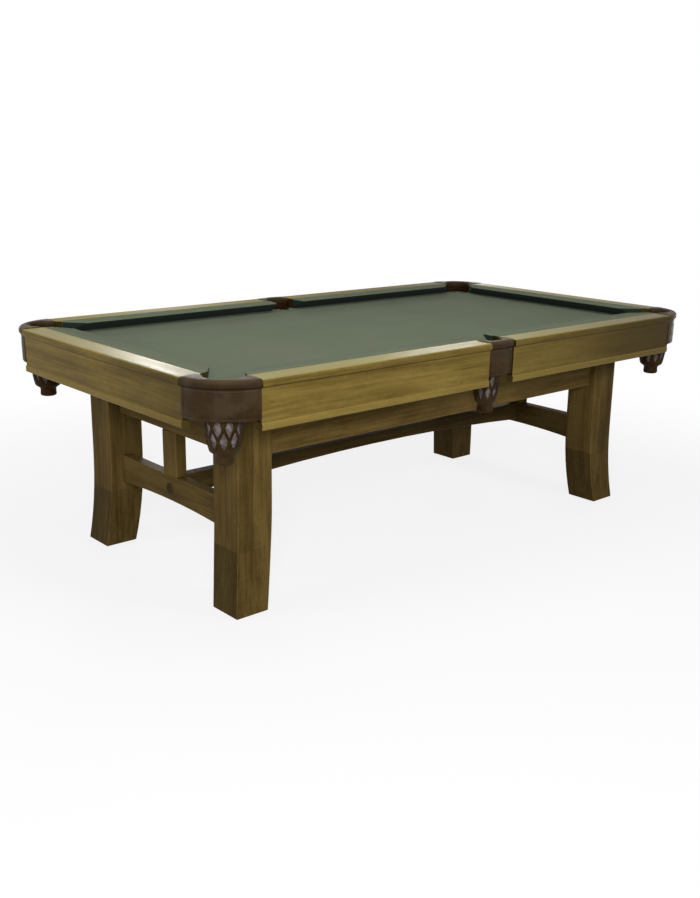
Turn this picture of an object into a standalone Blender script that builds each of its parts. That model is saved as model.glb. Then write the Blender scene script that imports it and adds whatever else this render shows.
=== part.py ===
"""Billiard table with a slate bed, sabre legs and six leather net pockets.

Metres, +Z up. X runs along the table, Y across it, and the origin is on the floor under the middle.
"""
import math

import bmesh
import bpy

# Overall sizes
FIELD_LENGTH = 1.981
FIELD_WIDTH = 0.9905
RAIL_WIDTH = 0.1525
RAIL_TOP_Z = 0.780
RAIL_RISE = 0.037

# Clearances between seated pieces
FIT = 0.0003
NET_CLEARANCE = 0.0005
BORE_CLEARANCE = 0.0006
PAD_CLEARANCE = 0.002

# Bed
CLOTH_THICKNESS = 0.0012
SLATE_THICKNESS = 0.0254
SLATE_LAP = 0.076
SLATE_SEAM_X = 0.330

# Rails and cushions
CUSHION_DEPTH = 0.050
CUSHION_NOSE_DROP = 0.0012
CUSHION_NOSE_HEIGHT = 0.0055
CUSHION_NOSE_ROUND = 0.0016
CUSHION_TOE = 0.008
CUSHION_HEEL_RISE = 0.007
RAIL_STEP_DEPTH = 0.122
RAIL_EDGE_HEIGHT = 0.023
RAIL_EDGE_ROUND = 0.007
RAIL_EDGE_CHAMFER = 0.0035
RAIL_END_KINK = 0.085
CORNER_MOUTH = 0.125
SIDE_MOUTH = 0.132
CORNER_FACING = math.radians(38.0)
SIDE_FACING = math.radians(76.0)
CORNER_RAIL_END = 0.011
SIDE_RAIL_END = 0.059

# Aprons
APRON_BOTTOM_Z = 0.6355
APRON_THICKNESS = 0.022
APRON_REVEAL = 0.008
APRON_CANT = 0.002
APRON_TRIM_HEIGHT = 0.022
APRON_TRIM_PROUD = 0.004
APRON_TRIM_CHAMFER = 0.003

# Pockets
CORNER_HOLE_SHIFT = 0.045
CORNER_HOLE_RADIUS = 0.055
CORNER_SHIELD_INSET = 0.0225
SIDE_HOLE_SHIFT = 0.080
SIDE_HOLE_RADIUS = 0.045
SIDE_SHIELD_SHIFT = 0.139
SIDE_SHIELD_BOW = 0.006
SHIELD_HEIGHT = 0.091
LEATHER_THICKNESS = 0.005
LIP_THICKNESS = 0.004
LIP_DROP = 0.005
RIM_CROWN = 0.003
RIM_FALL = 0.001
RIM_BULGE = 0.0073
RIM_ROUND = 0.007
RIM_SKIN = 0.012
SEAM_DEPTH = 0.0017
SEAM_HEIGHT = 0.002
IRON_THICKNESS = 0.016
POCKET_STATIONS = 12
ROLL_STEPS = 5

# Nets
NET_BAND_HEIGHT = 0.054
NET_MESH_HEIGHT = 0.117
NET_TAPER = 0.74
NET_BOTTOM_DROP = 0.006
NET_CUP_RADIUS = 0.027
NET_CUP_HEIGHT = 0.031
NET_CUP_ROUND = 0.005
NET_STRAP_HALF = 0.0045
NET_THICKNESS = 0.0026
NET_DIAMONDS = 10
NET_STEPS = 3

# Legs and feet
LEG_INSET_X = 0.0635
LEG_INSET_Y = 0.05025
LEG_DEPTH = 0.127
LEG_BREADTH = 0.128
LEG_FOOT_GAP = 0.002
KICK_OUTER_X = 0.023
KICK_INNER_X = 0.032
KICK_Y = 0.0175
KICK_HEIGHT_X = 0.350
KICK_HEIGHT_Y = 0.250
LEG_CURVE_STEPS = 7
PAD_RADIUS = 0.016
PAD_HEIGHT = 0.010
PAD_CHAMFER = 0.001
STEM_RADIUS = 0.005
STEM_HEIGHT = 0.045
ROUND_STEPS = 16

# Frame beams and stretchers
BEAM_THICKNESS = 0.040
SIDE_BEAM_SETBACK = 0.025
BEAM_BOTTOM_Z = 0.488
END_FRAME_SETBACK = 0.042
CROSS_BEAM_HEIGHT = 0.120
CROSS_BEAM_HOUSING = 0.008
STRETCHER_TOP_Z = 0.335
STRETCHER_FOOT_Z = 0.236
STRETCHER_RISE = 0.014
LONG_STRETCHER_FOOT_Z = 0.262
LONG_STRETCHER_RISE = 0.034
ARCH_STEPS = 10
POST_WIDTH = 0.080
TENON_LENGTH = 0.030
TENON_SHOULDER = 0.012
POST_TENON_LENGTH = 0.014
PEG_RADIUS = 0.018
PEG_PROUD = 0.004
EDGE_BREAK = 0.002
EDGE_BREAK_ANGLE = math.radians(40.0)
EDGE_STEPS = 2
SMOOTH_ANGLE = math.radians(50.0)

# Levels and edges that follow from the sizes above
HALF_LENGTH = FIELD_LENGTH / 2
HALF_WIDTH = FIELD_WIDTH / 2
BED_Z = RAIL_TOP_Z - RAIL_RISE
RAIL_BOTTOM_Z = BED_Z + FIT
RAIL_LIP_Z = RAIL_TOP_Z - RAIL_EDGE_HEIGHT
CLOTH_BOTTOM_Z = BED_Z - CLOTH_THICKNESS
SLATE_TOP_Z = CLOTH_BOTTOM_Z - FIT
SLATE_BOTTOM_Z = SLATE_TOP_Z - SLATE_THICKNESS
SLATE_EDGE_X = HALF_LENGTH + SLATE_LAP
SLATE_EDGE_Y = HALF_WIDTH + SLATE_LAP
FRAME_TOP_Z = SLATE_BOTTOM_Z - FIT
LEG_OUTER_X = HALF_LENGTH - LEG_INSET_X
LEG_OUTER_Y = HALF_WIDTH - LEG_INSET_Y
LEG_INNER_X = LEG_OUTER_X - LEG_DEPTH
LEG_INNER_Y = LEG_OUTER_Y - LEG_BREADTH
BEAM_HEIGHTS = (BEAM_BOTTOM_Z, FRAME_TOP_Z)
SIDE_BEAM_Y = LEG_OUTER_Y - SIDE_BEAM_SETBACK
SIDE_BEAM_INNER_Y = SIDE_BEAM_Y - BEAM_THICKNESS
END_FRAME_X = LEG_OUTER_X - END_FRAME_SETBACK
END_FRAME_INNER_X = END_FRAME_X - BEAM_THICKNESS
STRETCHER_TENON_FOOT_Z = STRETCHER_FOOT_Z + STRETCHER_RISE
PEG_Z = (STRETCHER_TENON_FOOT_Z + STRETCHER_TOP_Z) / 2
CORNER_NOTCH_RADIUS = CORNER_HOLE_RADIUS + LIP_THICKNESS
SIDE_NOTCH_RADIUS = SIDE_HOLE_RADIUS + LIP_THICKNESS
LIP_BOTTOM_Z = BED_Z - LIP_DROP
SIGNS = (-1, 1)

# Colour, roughness and metallic value of each finish
OAK = ((0.20, 0.135, 0.045, 1.0), 0.42, 0.0)
DARK_OAK = ((0.075, 0.050, 0.020, 1.0), 0.45, 0.0)
LEATHER = ((0.060, 0.030, 0.022, 1.0), 0.40, 0.0)
CLOTH = ((0.145, 0.180, 0.120, 1.0), 0.95, 0.0)
SLATE_GREY = ((0.10, 0.11, 0.12, 1.0), 0.70, 0.0)
STEEL = ((0.35, 0.35, 0.36, 1.0), 0.35, 1.0)


# Shared shapes

def clear_scene():
    """Empty the scene before modelling."""
    for item in list(bpy.data.objects):
        bpy.data.objects.remove(item, do_unlink=True)


def finish(name, shape, look, origin=(0.0, 0.0, 0.0), smooth=False):
    """Turn a bmesh into a named object with its own material."""
    bmesh.ops.recalc_face_normals(shape, faces=shape.faces[:])
    bmesh.ops.translate(shape, verts=shape.verts[:], vec=[-value for value in origin])
    mesh = bpy.data.meshes.new(name)
    shape.to_mesh(mesh)
    shape.free()
    item = bpy.data.objects.new(name, mesh)
    item.location = origin
    bpy.context.scene.collection.objects.link(item)
    colour, roughness, metallic = look
    material = bpy.data.materials.new(name)
    material.use_nodes = True
    shader = material.node_tree.nodes["Principled BSDF"]
    shader.inputs["Base Color"].default_value = colour
    shader.inputs["Roughness"].default_value = roughness
    shader.inputs["Metallic"].default_value = metallic
    mesh.materials.append(material)
    if smooth:
        mesh.shade_smooth()
        mesh.set_sharp_from_angle(angle=SMOOTH_ANGLE)
    return item


def bridge(shape, first, second):
    """Fill the strip between two rings of points."""
    count = len(first)
    for index in range(count):
        after = (index + 1) % count
        shape.faces.new((first[index], first[after], second[after], second[index]))


def skin(shape, rings):
    """Close a body through rings of points, with a cap at each end."""
    shape.faces.new(rings[0])
    shape.faces.new(rings[-1])
    for first, second in zip(rings, rings[1:]):
        bridge(shape, first, second)


def add_prism(shape, outline, place, low, high):
    """Add a straight prism: outline points (u, v), with low and high along its own axis."""
    skin(shape, [[shape.verts.new(place(u, v, end)) for u, v in outline] for end in (low, high)])


def prism(outline, place, low, high):
    """Return a new bmesh with one prism."""
    shape = bmesh.new()
    add_prism(shape, outline, place, low, high)
    return shape


def box_outline(u_low, u_high, v_low, v_high):
    """Corners of a rectangle."""
    return [(u_low, v_low), (u_high, v_low), (u_high, v_high), (u_low, v_high)]


def add_box(shape, x_range, y_range, z_range):
    """Add a box between three ranges."""
    add_prism(shape, box_outline(*x_range, *y_range), along_z, *z_range)


def box(x_range, y_range, z_range):
    """Return a new bmesh with one box."""
    shape = bmesh.new()
    add_box(shape, x_range, y_range, z_range)
    return shape


def along_x(u, v, w):
    """Outline in Y and Z, drawn along X."""
    return (w, u, v)


def along_y(u, v, w):
    """Outline in X and Z, drawn along Y."""
    return (u, w, v)


def along_z(u, v, w):
    """Outline in X and Y, drawn along Z."""
    return (u, v, w)


def span(sign, near, far):
    """Ordered range on one side of the middle."""
    return tuple(sorted((sign * near, sign * far)))


def arc(centre, radius, first, last, steps):
    """Points of an arc between two angles."""
    angles = [first + (last - first) * index / steps for index in range(steps + 1)]
    return [(centre[0] + radius * math.cos(a), centre[1] + radius * math.sin(a)) for a in angles]


def circle(centre, radius, steps):
    """Points of a regular polygon."""
    return arc(centre, radius, 0.0, math.tau, steps)[:-1]


def break_edges(item):
    """Break the sharp edges of a wooden piece."""
    bevel = item.modifiers.new("edge_break", "BEVEL")
    bevel.width = EDGE_BREAK
    bevel.segments = 1
    bevel.limit_method = "ANGLE"
    bevel.angle_limit = EDGE_BREAK_ANGLE
    return item


def combine(item, operation, guide_shape):
    """Cut a piece with a hidden guide body, or grow it by one."""
    guide = finish(item.name + "_" + operation.lower(), guide_shape, STEEL)
    guide.hide_render = True
    guide.display_type = "WIRE"
    boolean = item.modifiers.new(operation.lower(), "BOOLEAN")
    boolean.operation = operation
    boolean.solver = "EXACT"
    boolean.object = guide


def side_name(sign_x, sign_y):
    """Name of a table corner, seen from the front at -Y."""
    return ("front" if sign_y < 0 else "back") + ("_left" if sign_x < 0 else "_right")


def end_name(sign_x):
    """Name of a table end."""
    return "left" if sign_x < 0 else "right"


# Legs and levellers

def swing(reach, height, z):
    """How far a leg's side has kicked out at height z: it leaves the upright in a smooth curve."""
    return reach * max(0.0, 1.0 - z / height) ** 2


def leg_section(z):
    """X and Y ranges of a leg at height z, as distances from the middle of the table."""
    inner = LEG_INNER_X + swing(KICK_INNER_X, KICK_HEIGHT_X, z)
    outer = LEG_OUTER_X + swing(KICK_OUTER_X, KICK_HEIGHT_X, z)
    sideways = swing(KICK_Y, KICK_HEIGHT_Y, z)
    return (inner, outer), (LEG_INNER_Y + sideways, LEG_OUTER_Y + sideways)


def leg_shape(sign_x, sign_y):
    """A sabre leg, lofted through its sections from the foot to the top of the frame."""
    shape = bmesh.new()
    curved = max(KICK_HEIGHT_X, KICK_HEIGHT_Y) - LEG_FOOT_GAP
    levels = [LEG_FOOT_GAP + curved * step / LEG_CURVE_STEPS for step in range(LEG_CURVE_STEPS + 1)]
    rings = []
    for z in (*levels, FRAME_TOP_Z):
        x_range, y_range = leg_section(z)
        outline = box_outline(*span(sign_x, *x_range), *span(sign_y, *y_range))
        rings.append([shape.verts.new((x, y, z)) for x, y in outline])
    skin(shape, rings)
    return shape


def foot_centre(sign_x, sign_y):
    """Middle of a leg's foot on the floor."""
    x_range, y_range = leg_section(0.0)
    return sign_x * sum(x_range) / 2, sign_y * sum(y_range) / 2


def tenon_range(low, high):
    """Tenon thickness inside a board that runs from low to high."""
    return low + TENON_SHOULDER, high - TENON_SHOULDER


def grown(limits):
    """A mortise range: the tenon's range with the fit on both sides."""
    return limits[0] - FIT, limits[1] + FIT


def side_beam_tenon(sign_x, sign_y):
    """Ranges of a side beam's tenon, from its root inside the beam."""
    return (span(sign_x, LEG_INNER_X - TENON_LENGTH, LEG_INNER_X + TENON_LENGTH),
            span(sign_y, *tenon_range(SIDE_BEAM_INNER_Y, SIDE_BEAM_Y)),
            tenon_range(*BEAM_HEIGHTS))


def end_tenon(sign_x, sign_y, z_low, z_high):
    """Ranges of a tenon on an end beam or an end stretcher, from its root inside the board."""
    return (span(sign_x, *tenon_range(END_FRAME_INNER_X, END_FRAME_X)),
            span(sign_y, LEG_INNER_Y - TENON_LENGTH, LEG_INNER_Y + TENON_LENGTH),
            tenon_range(z_low, z_high))


def end_beam_tenon(sign_x, sign_y):
    """Ranges of an end beam's tenon."""
    return end_tenon(sign_x, sign_y, *BEAM_HEIGHTS)


def stretcher_tenon(sign_x, sign_y):
    """Ranges of an end stretcher's tenon."""
    return end_tenon(sign_x, sign_y, STRETCHER_TENON_FOOT_Z, STRETCHER_TOP_Z)


def post_tenon(sign_x):
    """Ranges of the tenons of a centre post, which run through it from end to end."""
    return (span(sign_x, *tenon_range(END_FRAME_INNER_X, END_FRAME_X)),
            tenon_range(-POST_WIDTH / 2, POST_WIDTH / 2),
            (STRETCHER_TOP_Z - POST_TENON_LENGTH, BEAM_BOTTOM_Z + POST_TENON_LENGTH))


def add_mortise(shape, ranges):
    """Add a mortise that fits a tenon."""
    add_box(shape, *[grown(limits) for limits in ranges])


def build_legs():
    """Four sabre legs with mortises and a bored foot."""
    for sign_x in SIGNS:
        for sign_y in SIGNS:
            leg = finish("leg_" + side_name(sign_x, sign_y), leg_shape(sign_x, sign_y), DARK_OAK)
            break_edges(leg)
            mortises = bmesh.new()
            for tenon in (side_beam_tenon, end_beam_tenon, stretcher_tenon):
                add_mortise(mortises, tenon(sign_x, sign_y))
            combine(leg, "DIFFERENCE", mortises)
            combine(leg, "DIFFERENCE", leveller_bore(foot_centre(sign_x, sign_y)))


def revolve(profile, centre, steps):
    """Turn a profile of (radius, z) about a vertical line, with flat ends."""
    shape = bmesh.new()
    rings = []
    for radius, z in profile:
        rings.append([shape.verts.new((x, y, z)) for x, y in circle(centre, radius, steps)])
    skin(shape, rings)
    return shape


def leveller_bore(centre):
    """Stepped bore that a leveller screws into."""
    recess_top = PAD_HEIGHT + PAD_CLEARANCE
    stem_top = STEM_HEIGHT + PAD_CLEARANCE
    recess = PAD_RADIUS + PAD_CLEARANCE
    bore = STEM_RADIUS + BORE_CLEARANCE
    profile = [(recess, -PAD_HEIGHT), (recess, recess_top), (bore, recess_top), (bore, stem_top)]
    return revolve(profile, centre, ROUND_STEPS)


def build_levellers():
    """Four screw feet under the legs."""
    profile = [(PAD_RADIUS - PAD_CHAMFER, 0.0), (PAD_RADIUS, PAD_CHAMFER), (PAD_RADIUS, PAD_HEIGHT),
               (STEM_RADIUS, PAD_HEIGHT), (STEM_RADIUS, STEM_HEIGHT)]
    for sign_x in SIGNS:
        for sign_y in SIGNS:
            centre = foot_centre(sign_x, sign_y)
            name = "leveller_" + side_name(sign_x, sign_y)
            finish(name, revolve(profile, centre, ROUND_STEPS), STEEL, (*centre, 0.0), smooth=True)


# Frame beams, stretchers and posts

def cross_beam_x(sign_x):
    """X range of a cross beam, centred under a slate seam."""
    return span(sign_x, SLATE_SEAM_X - BEAM_THICKNESS / 2, SLATE_SEAM_X + BEAM_THICKNESS / 2)


def build_side_beams():
    """Two long beams between the legs, with housings for the cross beams."""
    half = LEG_INNER_X - FIT
    for sign_y in SIGNS:
        board = box((-half, half), span(sign_y, SIDE_BEAM_INNER_Y, SIDE_BEAM_Y), BEAM_HEIGHTS)
        name = "side_beam_front" if sign_y < 0 else "side_beam_back"
        beam = break_edges(finish(name, board, DARK_OAK))
        tenons = bmesh.new()
        housings = bmesh.new()
        inner, sunk = SIDE_BEAM_INNER_Y, CROSS_BEAM_HOUSING
        for sign_x in SIGNS:
            add_box(tenons, *side_beam_tenon(sign_x, sign_y))
            add_box(housings, grown(cross_beam_x(sign_x)), span(sign_y, inner - sunk, inner + sunk),
                    (FRAME_TOP_Z - CROSS_BEAM_HEIGHT - FIT, FRAME_TOP_Z + sunk))
        combine(beam, "UNION", tenons)
        combine(beam, "DIFFERENCE", housings)


def build_cross_beams():
    """Two cross beams under the slate seams, housed in the side beams."""
    half = SIDE_BEAM_INNER_Y + CROSS_BEAM_HOUSING - FIT
    for sign_x in SIGNS:
        board = box(cross_beam_x(sign_x), (-half, half), (FRAME_TOP_Z - CROSS_BEAM_HEIGHT, FRAME_TOP_Z))
        finish("cross_beam_" + end_name(sign_x), board, DARK_OAK)


def build_end_beams():
    """Two end beams between the legs."""
    half = LEG_INNER_Y - FIT
    for sign_x in SIGNS:
        board = box(span(sign_x, END_FRAME_INNER_X, END_FRAME_X), (-half, half), BEAM_HEIGHTS)
        beam = break_edges(finish("end_beam_" + end_name(sign_x), board, DARK_OAK))
        tenons = bmesh.new()
        for sign_y in SIGNS:
            add_box(tenons, *end_beam_tenon(sign_x, sign_y))
        combine(beam, "UNION", tenons)
        mortise = bmesh.new()
        add_mortise(mortise, post_tenon(sign_x))
        combine(beam, "DIFFERENCE", mortise)


def arch_outline(half, top, foot, rise):
    """A board with a flat top and an arched underside."""
    points = [(half, top), (-half, top)]
    for step in range(ARCH_STEPS + 1):
        across = -1.0 + 2.0 * step / ARCH_STEPS
        points.append((half * across, foot + rise * (1.0 - across ** 2)))
    return points


def build_end_stretchers():
    """Two low arched stretchers between the legs of each end."""
    outline = arch_outline(LEG_INNER_Y - FIT, STRETCHER_TOP_Z, STRETCHER_FOOT_Z, STRETCHER_RISE)
    for sign_x in SIGNS:
        board = prism(outline, along_x, *span(sign_x, END_FRAME_INNER_X, END_FRAME_X))
        stretcher = break_edges(finish("end_stretcher_" + end_name(sign_x), board, DARK_OAK))
        tenons = bmesh.new()
        for sign_y in SIGNS:
            add_box(tenons, *stretcher_tenon(sign_x, sign_y))
        combine(stretcher, "UNION", tenons)
        cuts = prism(circle((0.0, PEG_Z), PEG_RADIUS + FIT, ROUND_STEPS), along_x,
                     *span(sign_x, END_FRAME_INNER_X - PEG_RADIUS, END_FRAME_X + PEG_RADIUS))
        add_mortise(cuts, post_tenon(sign_x))
        combine(stretcher, "DIFFERENCE", cuts)


def build_long_stretcher():
    """The middle stretcher, with a round tenon through each end stretcher."""
    half = END_FRAME_INNER_X - FIT
    outline = arch_outline(half, STRETCHER_TOP_Z, LONG_STRETCHER_FOOT_Z, LONG_STRETCHER_RISE)
    board = prism(outline, along_y, -BEAM_THICKNESS / 2, BEAM_THICKNESS / 2)
    stretcher = break_edges(finish("long_stretcher", board, DARK_OAK))
    pegs = bmesh.new()
    for sign_x in SIGNS:
        add_prism(pegs, circle((0.0, PEG_Z), PEG_RADIUS, ROUND_STEPS), along_x,
                  *span(sign_x, half - TENON_LENGTH, END_FRAME_X + PEG_PROUD))
    combine(stretcher, "UNION", pegs)


def build_posts():
    """A centre post between each end stretcher and end beam."""
    for sign_x in SIGNS:
        board = box(span(sign_x, END_FRAME_INNER_X, END_FRAME_X), (-POST_WIDTH / 2, POST_WIDTH / 2),
                    (STRETCHER_TOP_Z + FIT, BEAM_BOTTOM_Z - FIT))
        post = break_edges(finish("center_post_" + end_name(sign_x), board, DARK_OAK))
        combine(post, "UNION", box(*post_tenon(sign_x)))


# Slate bed and cloth

def corner_notch(sign_x, sign_y):
    """Notch at a bed corner, from the end edge to the long edge, straight-sided where its arc is short."""
    shift, radius = CORNER_HOLE_SHIFT, CORNER_NOTCH_RADIUS
    reach = math.acos(min(1.0, (SLATE_LAP - shift) / radius))
    reach = max(reach, math.pi / 4)
    local = arc((shift, shift), radius, -reach, reach - math.pi * 3 / 2, POCKET_STATIONS)
    straight = SLATE_LAP - local[0][0]
    if straight > FIT:
        local.insert(0, (SLATE_LAP, local[0][1] + straight))
        local.append((local[-1][0] + straight, SLATE_LAP))
    return [(sign_x * (HALF_LENGTH + a), sign_y * (HALF_WIDTH + b)) for a, b in local]


def side_notch(sign_y):
    """U-shaped notch in the middle of a long edge, from -X to +X."""
    shift, radius = SIDE_HOLE_SHIFT, SIDE_NOTCH_RADIUS
    if shift < SLATE_LAP:
        local = arc((0.0, shift), radius, -math.pi, 0.0, POCKET_STATIONS)
        local = [(-radius, SLATE_LAP), *local, (radius, SLATE_LAP)]
    else:
        reach = math.asin((shift - SLATE_LAP) / radius)
        local = arc((0.0, shift), radius, reach - math.pi, -reach, POCKET_STATIONS)
    return [(a, sign_y * (HALF_WIDTH + b)) for a, b in local]


def bed_outline(x_low, x_high):
    """Outline of the bed between two X values, with every pocket notch that lies there."""
    points = []
    for sign_y in SIGNS:
        row = []
        for x, sign_x in [(x_low, -1), (x_high, 1)][::-sign_y]:
            if abs(x) < SLATE_EDGE_X:
                row.append([(x, sign_y * SLATE_EDGE_Y)])
                continue
            notch = corner_notch(sign_x, sign_y)
            row.append(notch if sign_x == sign_y else notch[::-1])
        if x_low < 0.0 < x_high:
            row.insert(1, side_notch(sign_y)[::-sign_y])
        for part in row:
            points.extend(part)
    return points


def build_bed():
    """Three slates and the cloth stretched over them."""
    seam = SLATE_SEAM_X
    spans = {"left": (-SLATE_EDGE_X, -seam - FIT / 2), "center": (FIT / 2 - seam, seam - FIT / 2),
             "right": (seam + FIT / 2, SLATE_EDGE_X)}
    for name, (low, high) in spans.items():
        slate = prism(bed_outline(low, high), along_z, SLATE_BOTTOM_Z, SLATE_TOP_Z)
        finish("slate_" + name, slate, SLATE_GREY)
    cloth = prism(bed_outline(-SLATE_EDGE_X, SLATE_EDGE_X), along_z, CLOTH_BOTTOM_Z, BED_Z)
    finish("bed_cloth", cloth, CLOTH)


# Rails, cushions and aprons

def cushion_corner_gap(depth):
    """Distance of a cushion's end from the field's corner line, at a depth behind the nose."""
    return CORNER_MOUTH / math.sqrt(2.0) - depth / math.tan(CORNER_FACING)


def cushion_side_gap(depth):
    """Distance of a cushion's end from the middle of a side pocket."""
    return SIDE_MOUTH / 2 - depth / math.tan(SIDE_FACING)


def rail_corner_gap(depth):
    """Distance of a rail's end from the corner line: it leaves the cushion's cut, then runs square."""
    start = max(cushion_corner_gap(CUSHION_DEPTH), CORNER_RAIL_END)
    share = min(1.0, (depth - CUSHION_DEPTH) / (RAIL_END_KINK - CUSHION_DEPTH))
    return start + (CORNER_RAIL_END - start) * share


def square_corner_gap(_depth):
    """End of an apron at a corner pocket, square to its length at every depth."""
    return CORNER_RAIL_END


def square_side_gap(_depth):
    """End of a rail or an apron at a side pocket, square to its length at every depth."""
    return SIDE_RAIL_END


def rail_runs(corner_gap, side_gap):
    """The six runs round the table: name, placing function, and start and end along the run."""
    def at_front(s, d, z):
        return (s, -HALF_WIDTH - d, z)

    def at_back(s, d, z):
        return (s, HALF_WIDTH + d, z)

    def at_left(s, d, z):
        return (-HALF_LENGTH - d, s, z)

    def at_right(s, d, z):
        return (HALF_LENGTH + d, s, z)

    def long_corner(d):
        return HALF_LENGTH - corner_gap(d)

    def end_corner(d):
        return HALF_WIDTH - corner_gap(d)

    runs = []
    for name, place in (("front", at_front), ("back", at_back)):
        runs.append((name + "_left", place, lambda d: -long_corner(d), lambda d: -side_gap(d)))
        runs.append((name + "_right", place, side_gap, long_corner))
    for name, place in (("left", at_left), ("right", at_right)):
        runs.append((name, place, lambda d: -end_corner(d), end_corner))
    return runs


def run_prism(profile, caps, place, start, end):
    """Draw a profile of (depth, z) along a run whose ends depend on the depth."""
    shape = bmesh.new()
    rings = [[shape.verts.new(place(limit(d), d, z)) for d, z in profile] for limit in (start, end)]
    for ring in rings:
        for cap in caps:
            shape.faces.new([ring[index] for index in cap])
    bridge(shape, *rings)
    return shape


def build_rails():
    """Six wooden rails that stand on the bed and reach out over the aprons."""
    back = CUSHION_DEPTH + FIT
    edge, top, soft = RAIL_WIDTH, RAIL_TOP_Z, RAIL_EDGE_ROUND
    profile = [(back, RAIL_BOTTOM_Z), (RAIL_END_KINK, RAIL_BOTTOM_Z), (RAIL_STEP_DEPTH, RAIL_BOTTOM_Z),
               (RAIL_STEP_DEPTH, RAIL_LIP_Z), (edge - RAIL_EDGE_CHAMFER, RAIL_LIP_Z),
               (edge, RAIL_LIP_Z + RAIL_EDGE_CHAMFER),
               *arc((edge - soft, top - soft), soft, 0.0, math.pi / 2, EDGE_STEPS),
               (RAIL_END_KINK, top), (back, top)]
    last = len(profile) - 1
    caps = ((0, 1, last - 1, last), tuple(range(1, last)))
    for name, place, start, end in rail_runs(rail_corner_gap, square_side_gap):
        finish("rail_" + name, run_prism(profile, caps, place, start, end), OAK)


def build_cushions():
    """Six cloth-covered rubber cushions, cut back at the pockets."""
    nose_top = RAIL_TOP_Z - CUSHION_NOSE_DROP
    nose_bottom = nose_top - CUSHION_NOSE_HEIGHT
    heel = BED_Z + CUSHION_HEEL_RISE
    soft = CUSHION_NOSE_ROUND
    profile = [(0.0, nose_bottom + soft), (soft, nose_bottom), (CUSHION_DEPTH - CUSHION_TOE, heel),
               (CUSHION_DEPTH, heel), (CUSHION_DEPTH, RAIL_TOP_Z), (soft, nose_top), (0.0, nose_top - soft)]
    caps = (tuple(range(len(profile))),)
    for name, place, start, end in rail_runs(cushion_corner_gap, cushion_side_gap):
        finish("cushion_" + name, run_prism(profile, caps, place, start, end), CLOTH)


def build_aprons():
    """Six canted aprons under the rails, with a trim moulding along the bottom."""
    top, bottom = RAIL_LIP_Z - FIT, APRON_BOTTOM_Z
    outer = RAIL_WIDTH - APRON_REVEAL
    inner = max(outer - APRON_THICKNESS, RAIL_STEP_DEPTH + FIT)
    trim_top = bottom + APRON_TRIM_HEIGHT
    soft = APRON_TRIM_CHAMFER

    def face(z):
        return outer - APRON_CANT * (top - z) / (top - bottom)

    def trim(z):
        return face(z) + APRON_TRIM_PROUD

    profile = [(inner, top), (outer, top), (face(trim_top), trim_top), (trim(trim_top) - soft, trim_top),
               (trim(trim_top - soft), trim_top - soft), (trim(bottom + soft), bottom + soft),
               (trim(bottom) - soft, bottom), (face(bottom) - APRON_THICKNESS, bottom),
               (inner, RAIL_BOTTOM_Z - FIT)]
    caps = (tuple(range(len(profile))),)
    for name, place, start, end in rail_runs(square_corner_gap, square_side_gap):
        finish("apron_" + name, run_prism(profile, caps, place, start, end), OAK)


# Pockets

def corner_stations():
    """Inner and outer points round a corner pocket, in axes that point out from the field's corner."""
    end = FIT - CORNER_RAIL_END
    shift, hole, middle = CORNER_HOLE_SHIFT, CORNER_HOLE_RADIUS, -CORNER_SHIELD_INSET
    reach = min(math.pi / 4, math.asin(min(1.0, (shift - end - FIT) / hole)))
    inner = arc((shift, shift), hole, -reach, math.pi / 2 + reach, POCKET_STATIONS)
    horn = max(inner[0][0], SLATE_LAP + FIT)
    inner = [(horn, end), *inner, (end, horn)]
    flush = RAIL_WIDTH - APRON_REVEAL
    start = math.atan2(end - middle, flush - middle)
    outer = arc((middle, middle), math.hypot(flush - middle, end - middle), start, math.pi / 2 - start,
                POCKET_STATIONS + 2)
    return list(zip(inner, outer))


def side_stations():
    """Inner and outer points across a side pocket: X along the table, and depth out from the nose line."""
    half = SIDE_RAIL_END - FIT
    stations = []
    for index in range(POCKET_STATIONS + 1):
        x = half * (2.0 * index / POCKET_STATIONS - 1.0)
        rim = SIDE_HOLE_SHIFT + math.sqrt(max(0.0, SIDE_HOLE_RADIUS ** 2 - x ** 2))
        outer = SIDE_SHIELD_SHIFT + SIDE_SHIELD_BOW * (1.0 - (x / half) ** 2)
        stations.append(((x, max(rim, RAIL_END_KINK)), (x, outer)))
    return stations


def corner_pocket(sign_x, sign_y):
    """Name, stations, placing function, hole centre and notch radius of a corner pocket."""
    def place(a, b, z):
        return (sign_x * (HALF_LENGTH + a), sign_y * (HALF_WIDTH + b), z)
    return (side_name(sign_x, sign_y), corner_stations(), place,
            (CORNER_HOLE_SHIFT, CORNER_HOLE_SHIFT), CORNER_NOTCH_RADIUS)


def side_pocket(sign_y):
    """The same for a side pocket."""
    def place(a, b, z):
        return (a, sign_y * (HALF_WIDTH + b), z)
    name = "front_side" if sign_y < 0 else "back_side"
    return name, side_stations(), place, (0.0, SIDE_HOLE_SHIFT), SIDE_NOTCH_RADIUS


def pockets():
    """The six pockets."""
    places = []
    for sign_y in SIGNS:
        places.extend(corner_pocket(sign_x, sign_y) for sign_x in SIGNS)
        places.append(side_pocket(sign_y))
    return places


def loft(stations, section, place):
    """Draw a section across each station; its points are (share, offset, z) from inner to outer."""
    shape = bmesh.new()
    rings = []
    for inner, outer in stations:
        across = (outer[0] - inner[0], outer[1] - inner[1])
        length = math.hypot(*across)
        ring = []
        for share, offset, z in section:
            way = share + offset / length
            ring.append(shape.verts.new(place(inner[0] + across[0] * way, inner[1] + across[1] * way, z)))
        rings.append(ring)
    skin(shape, rings)
    return shape


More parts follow.
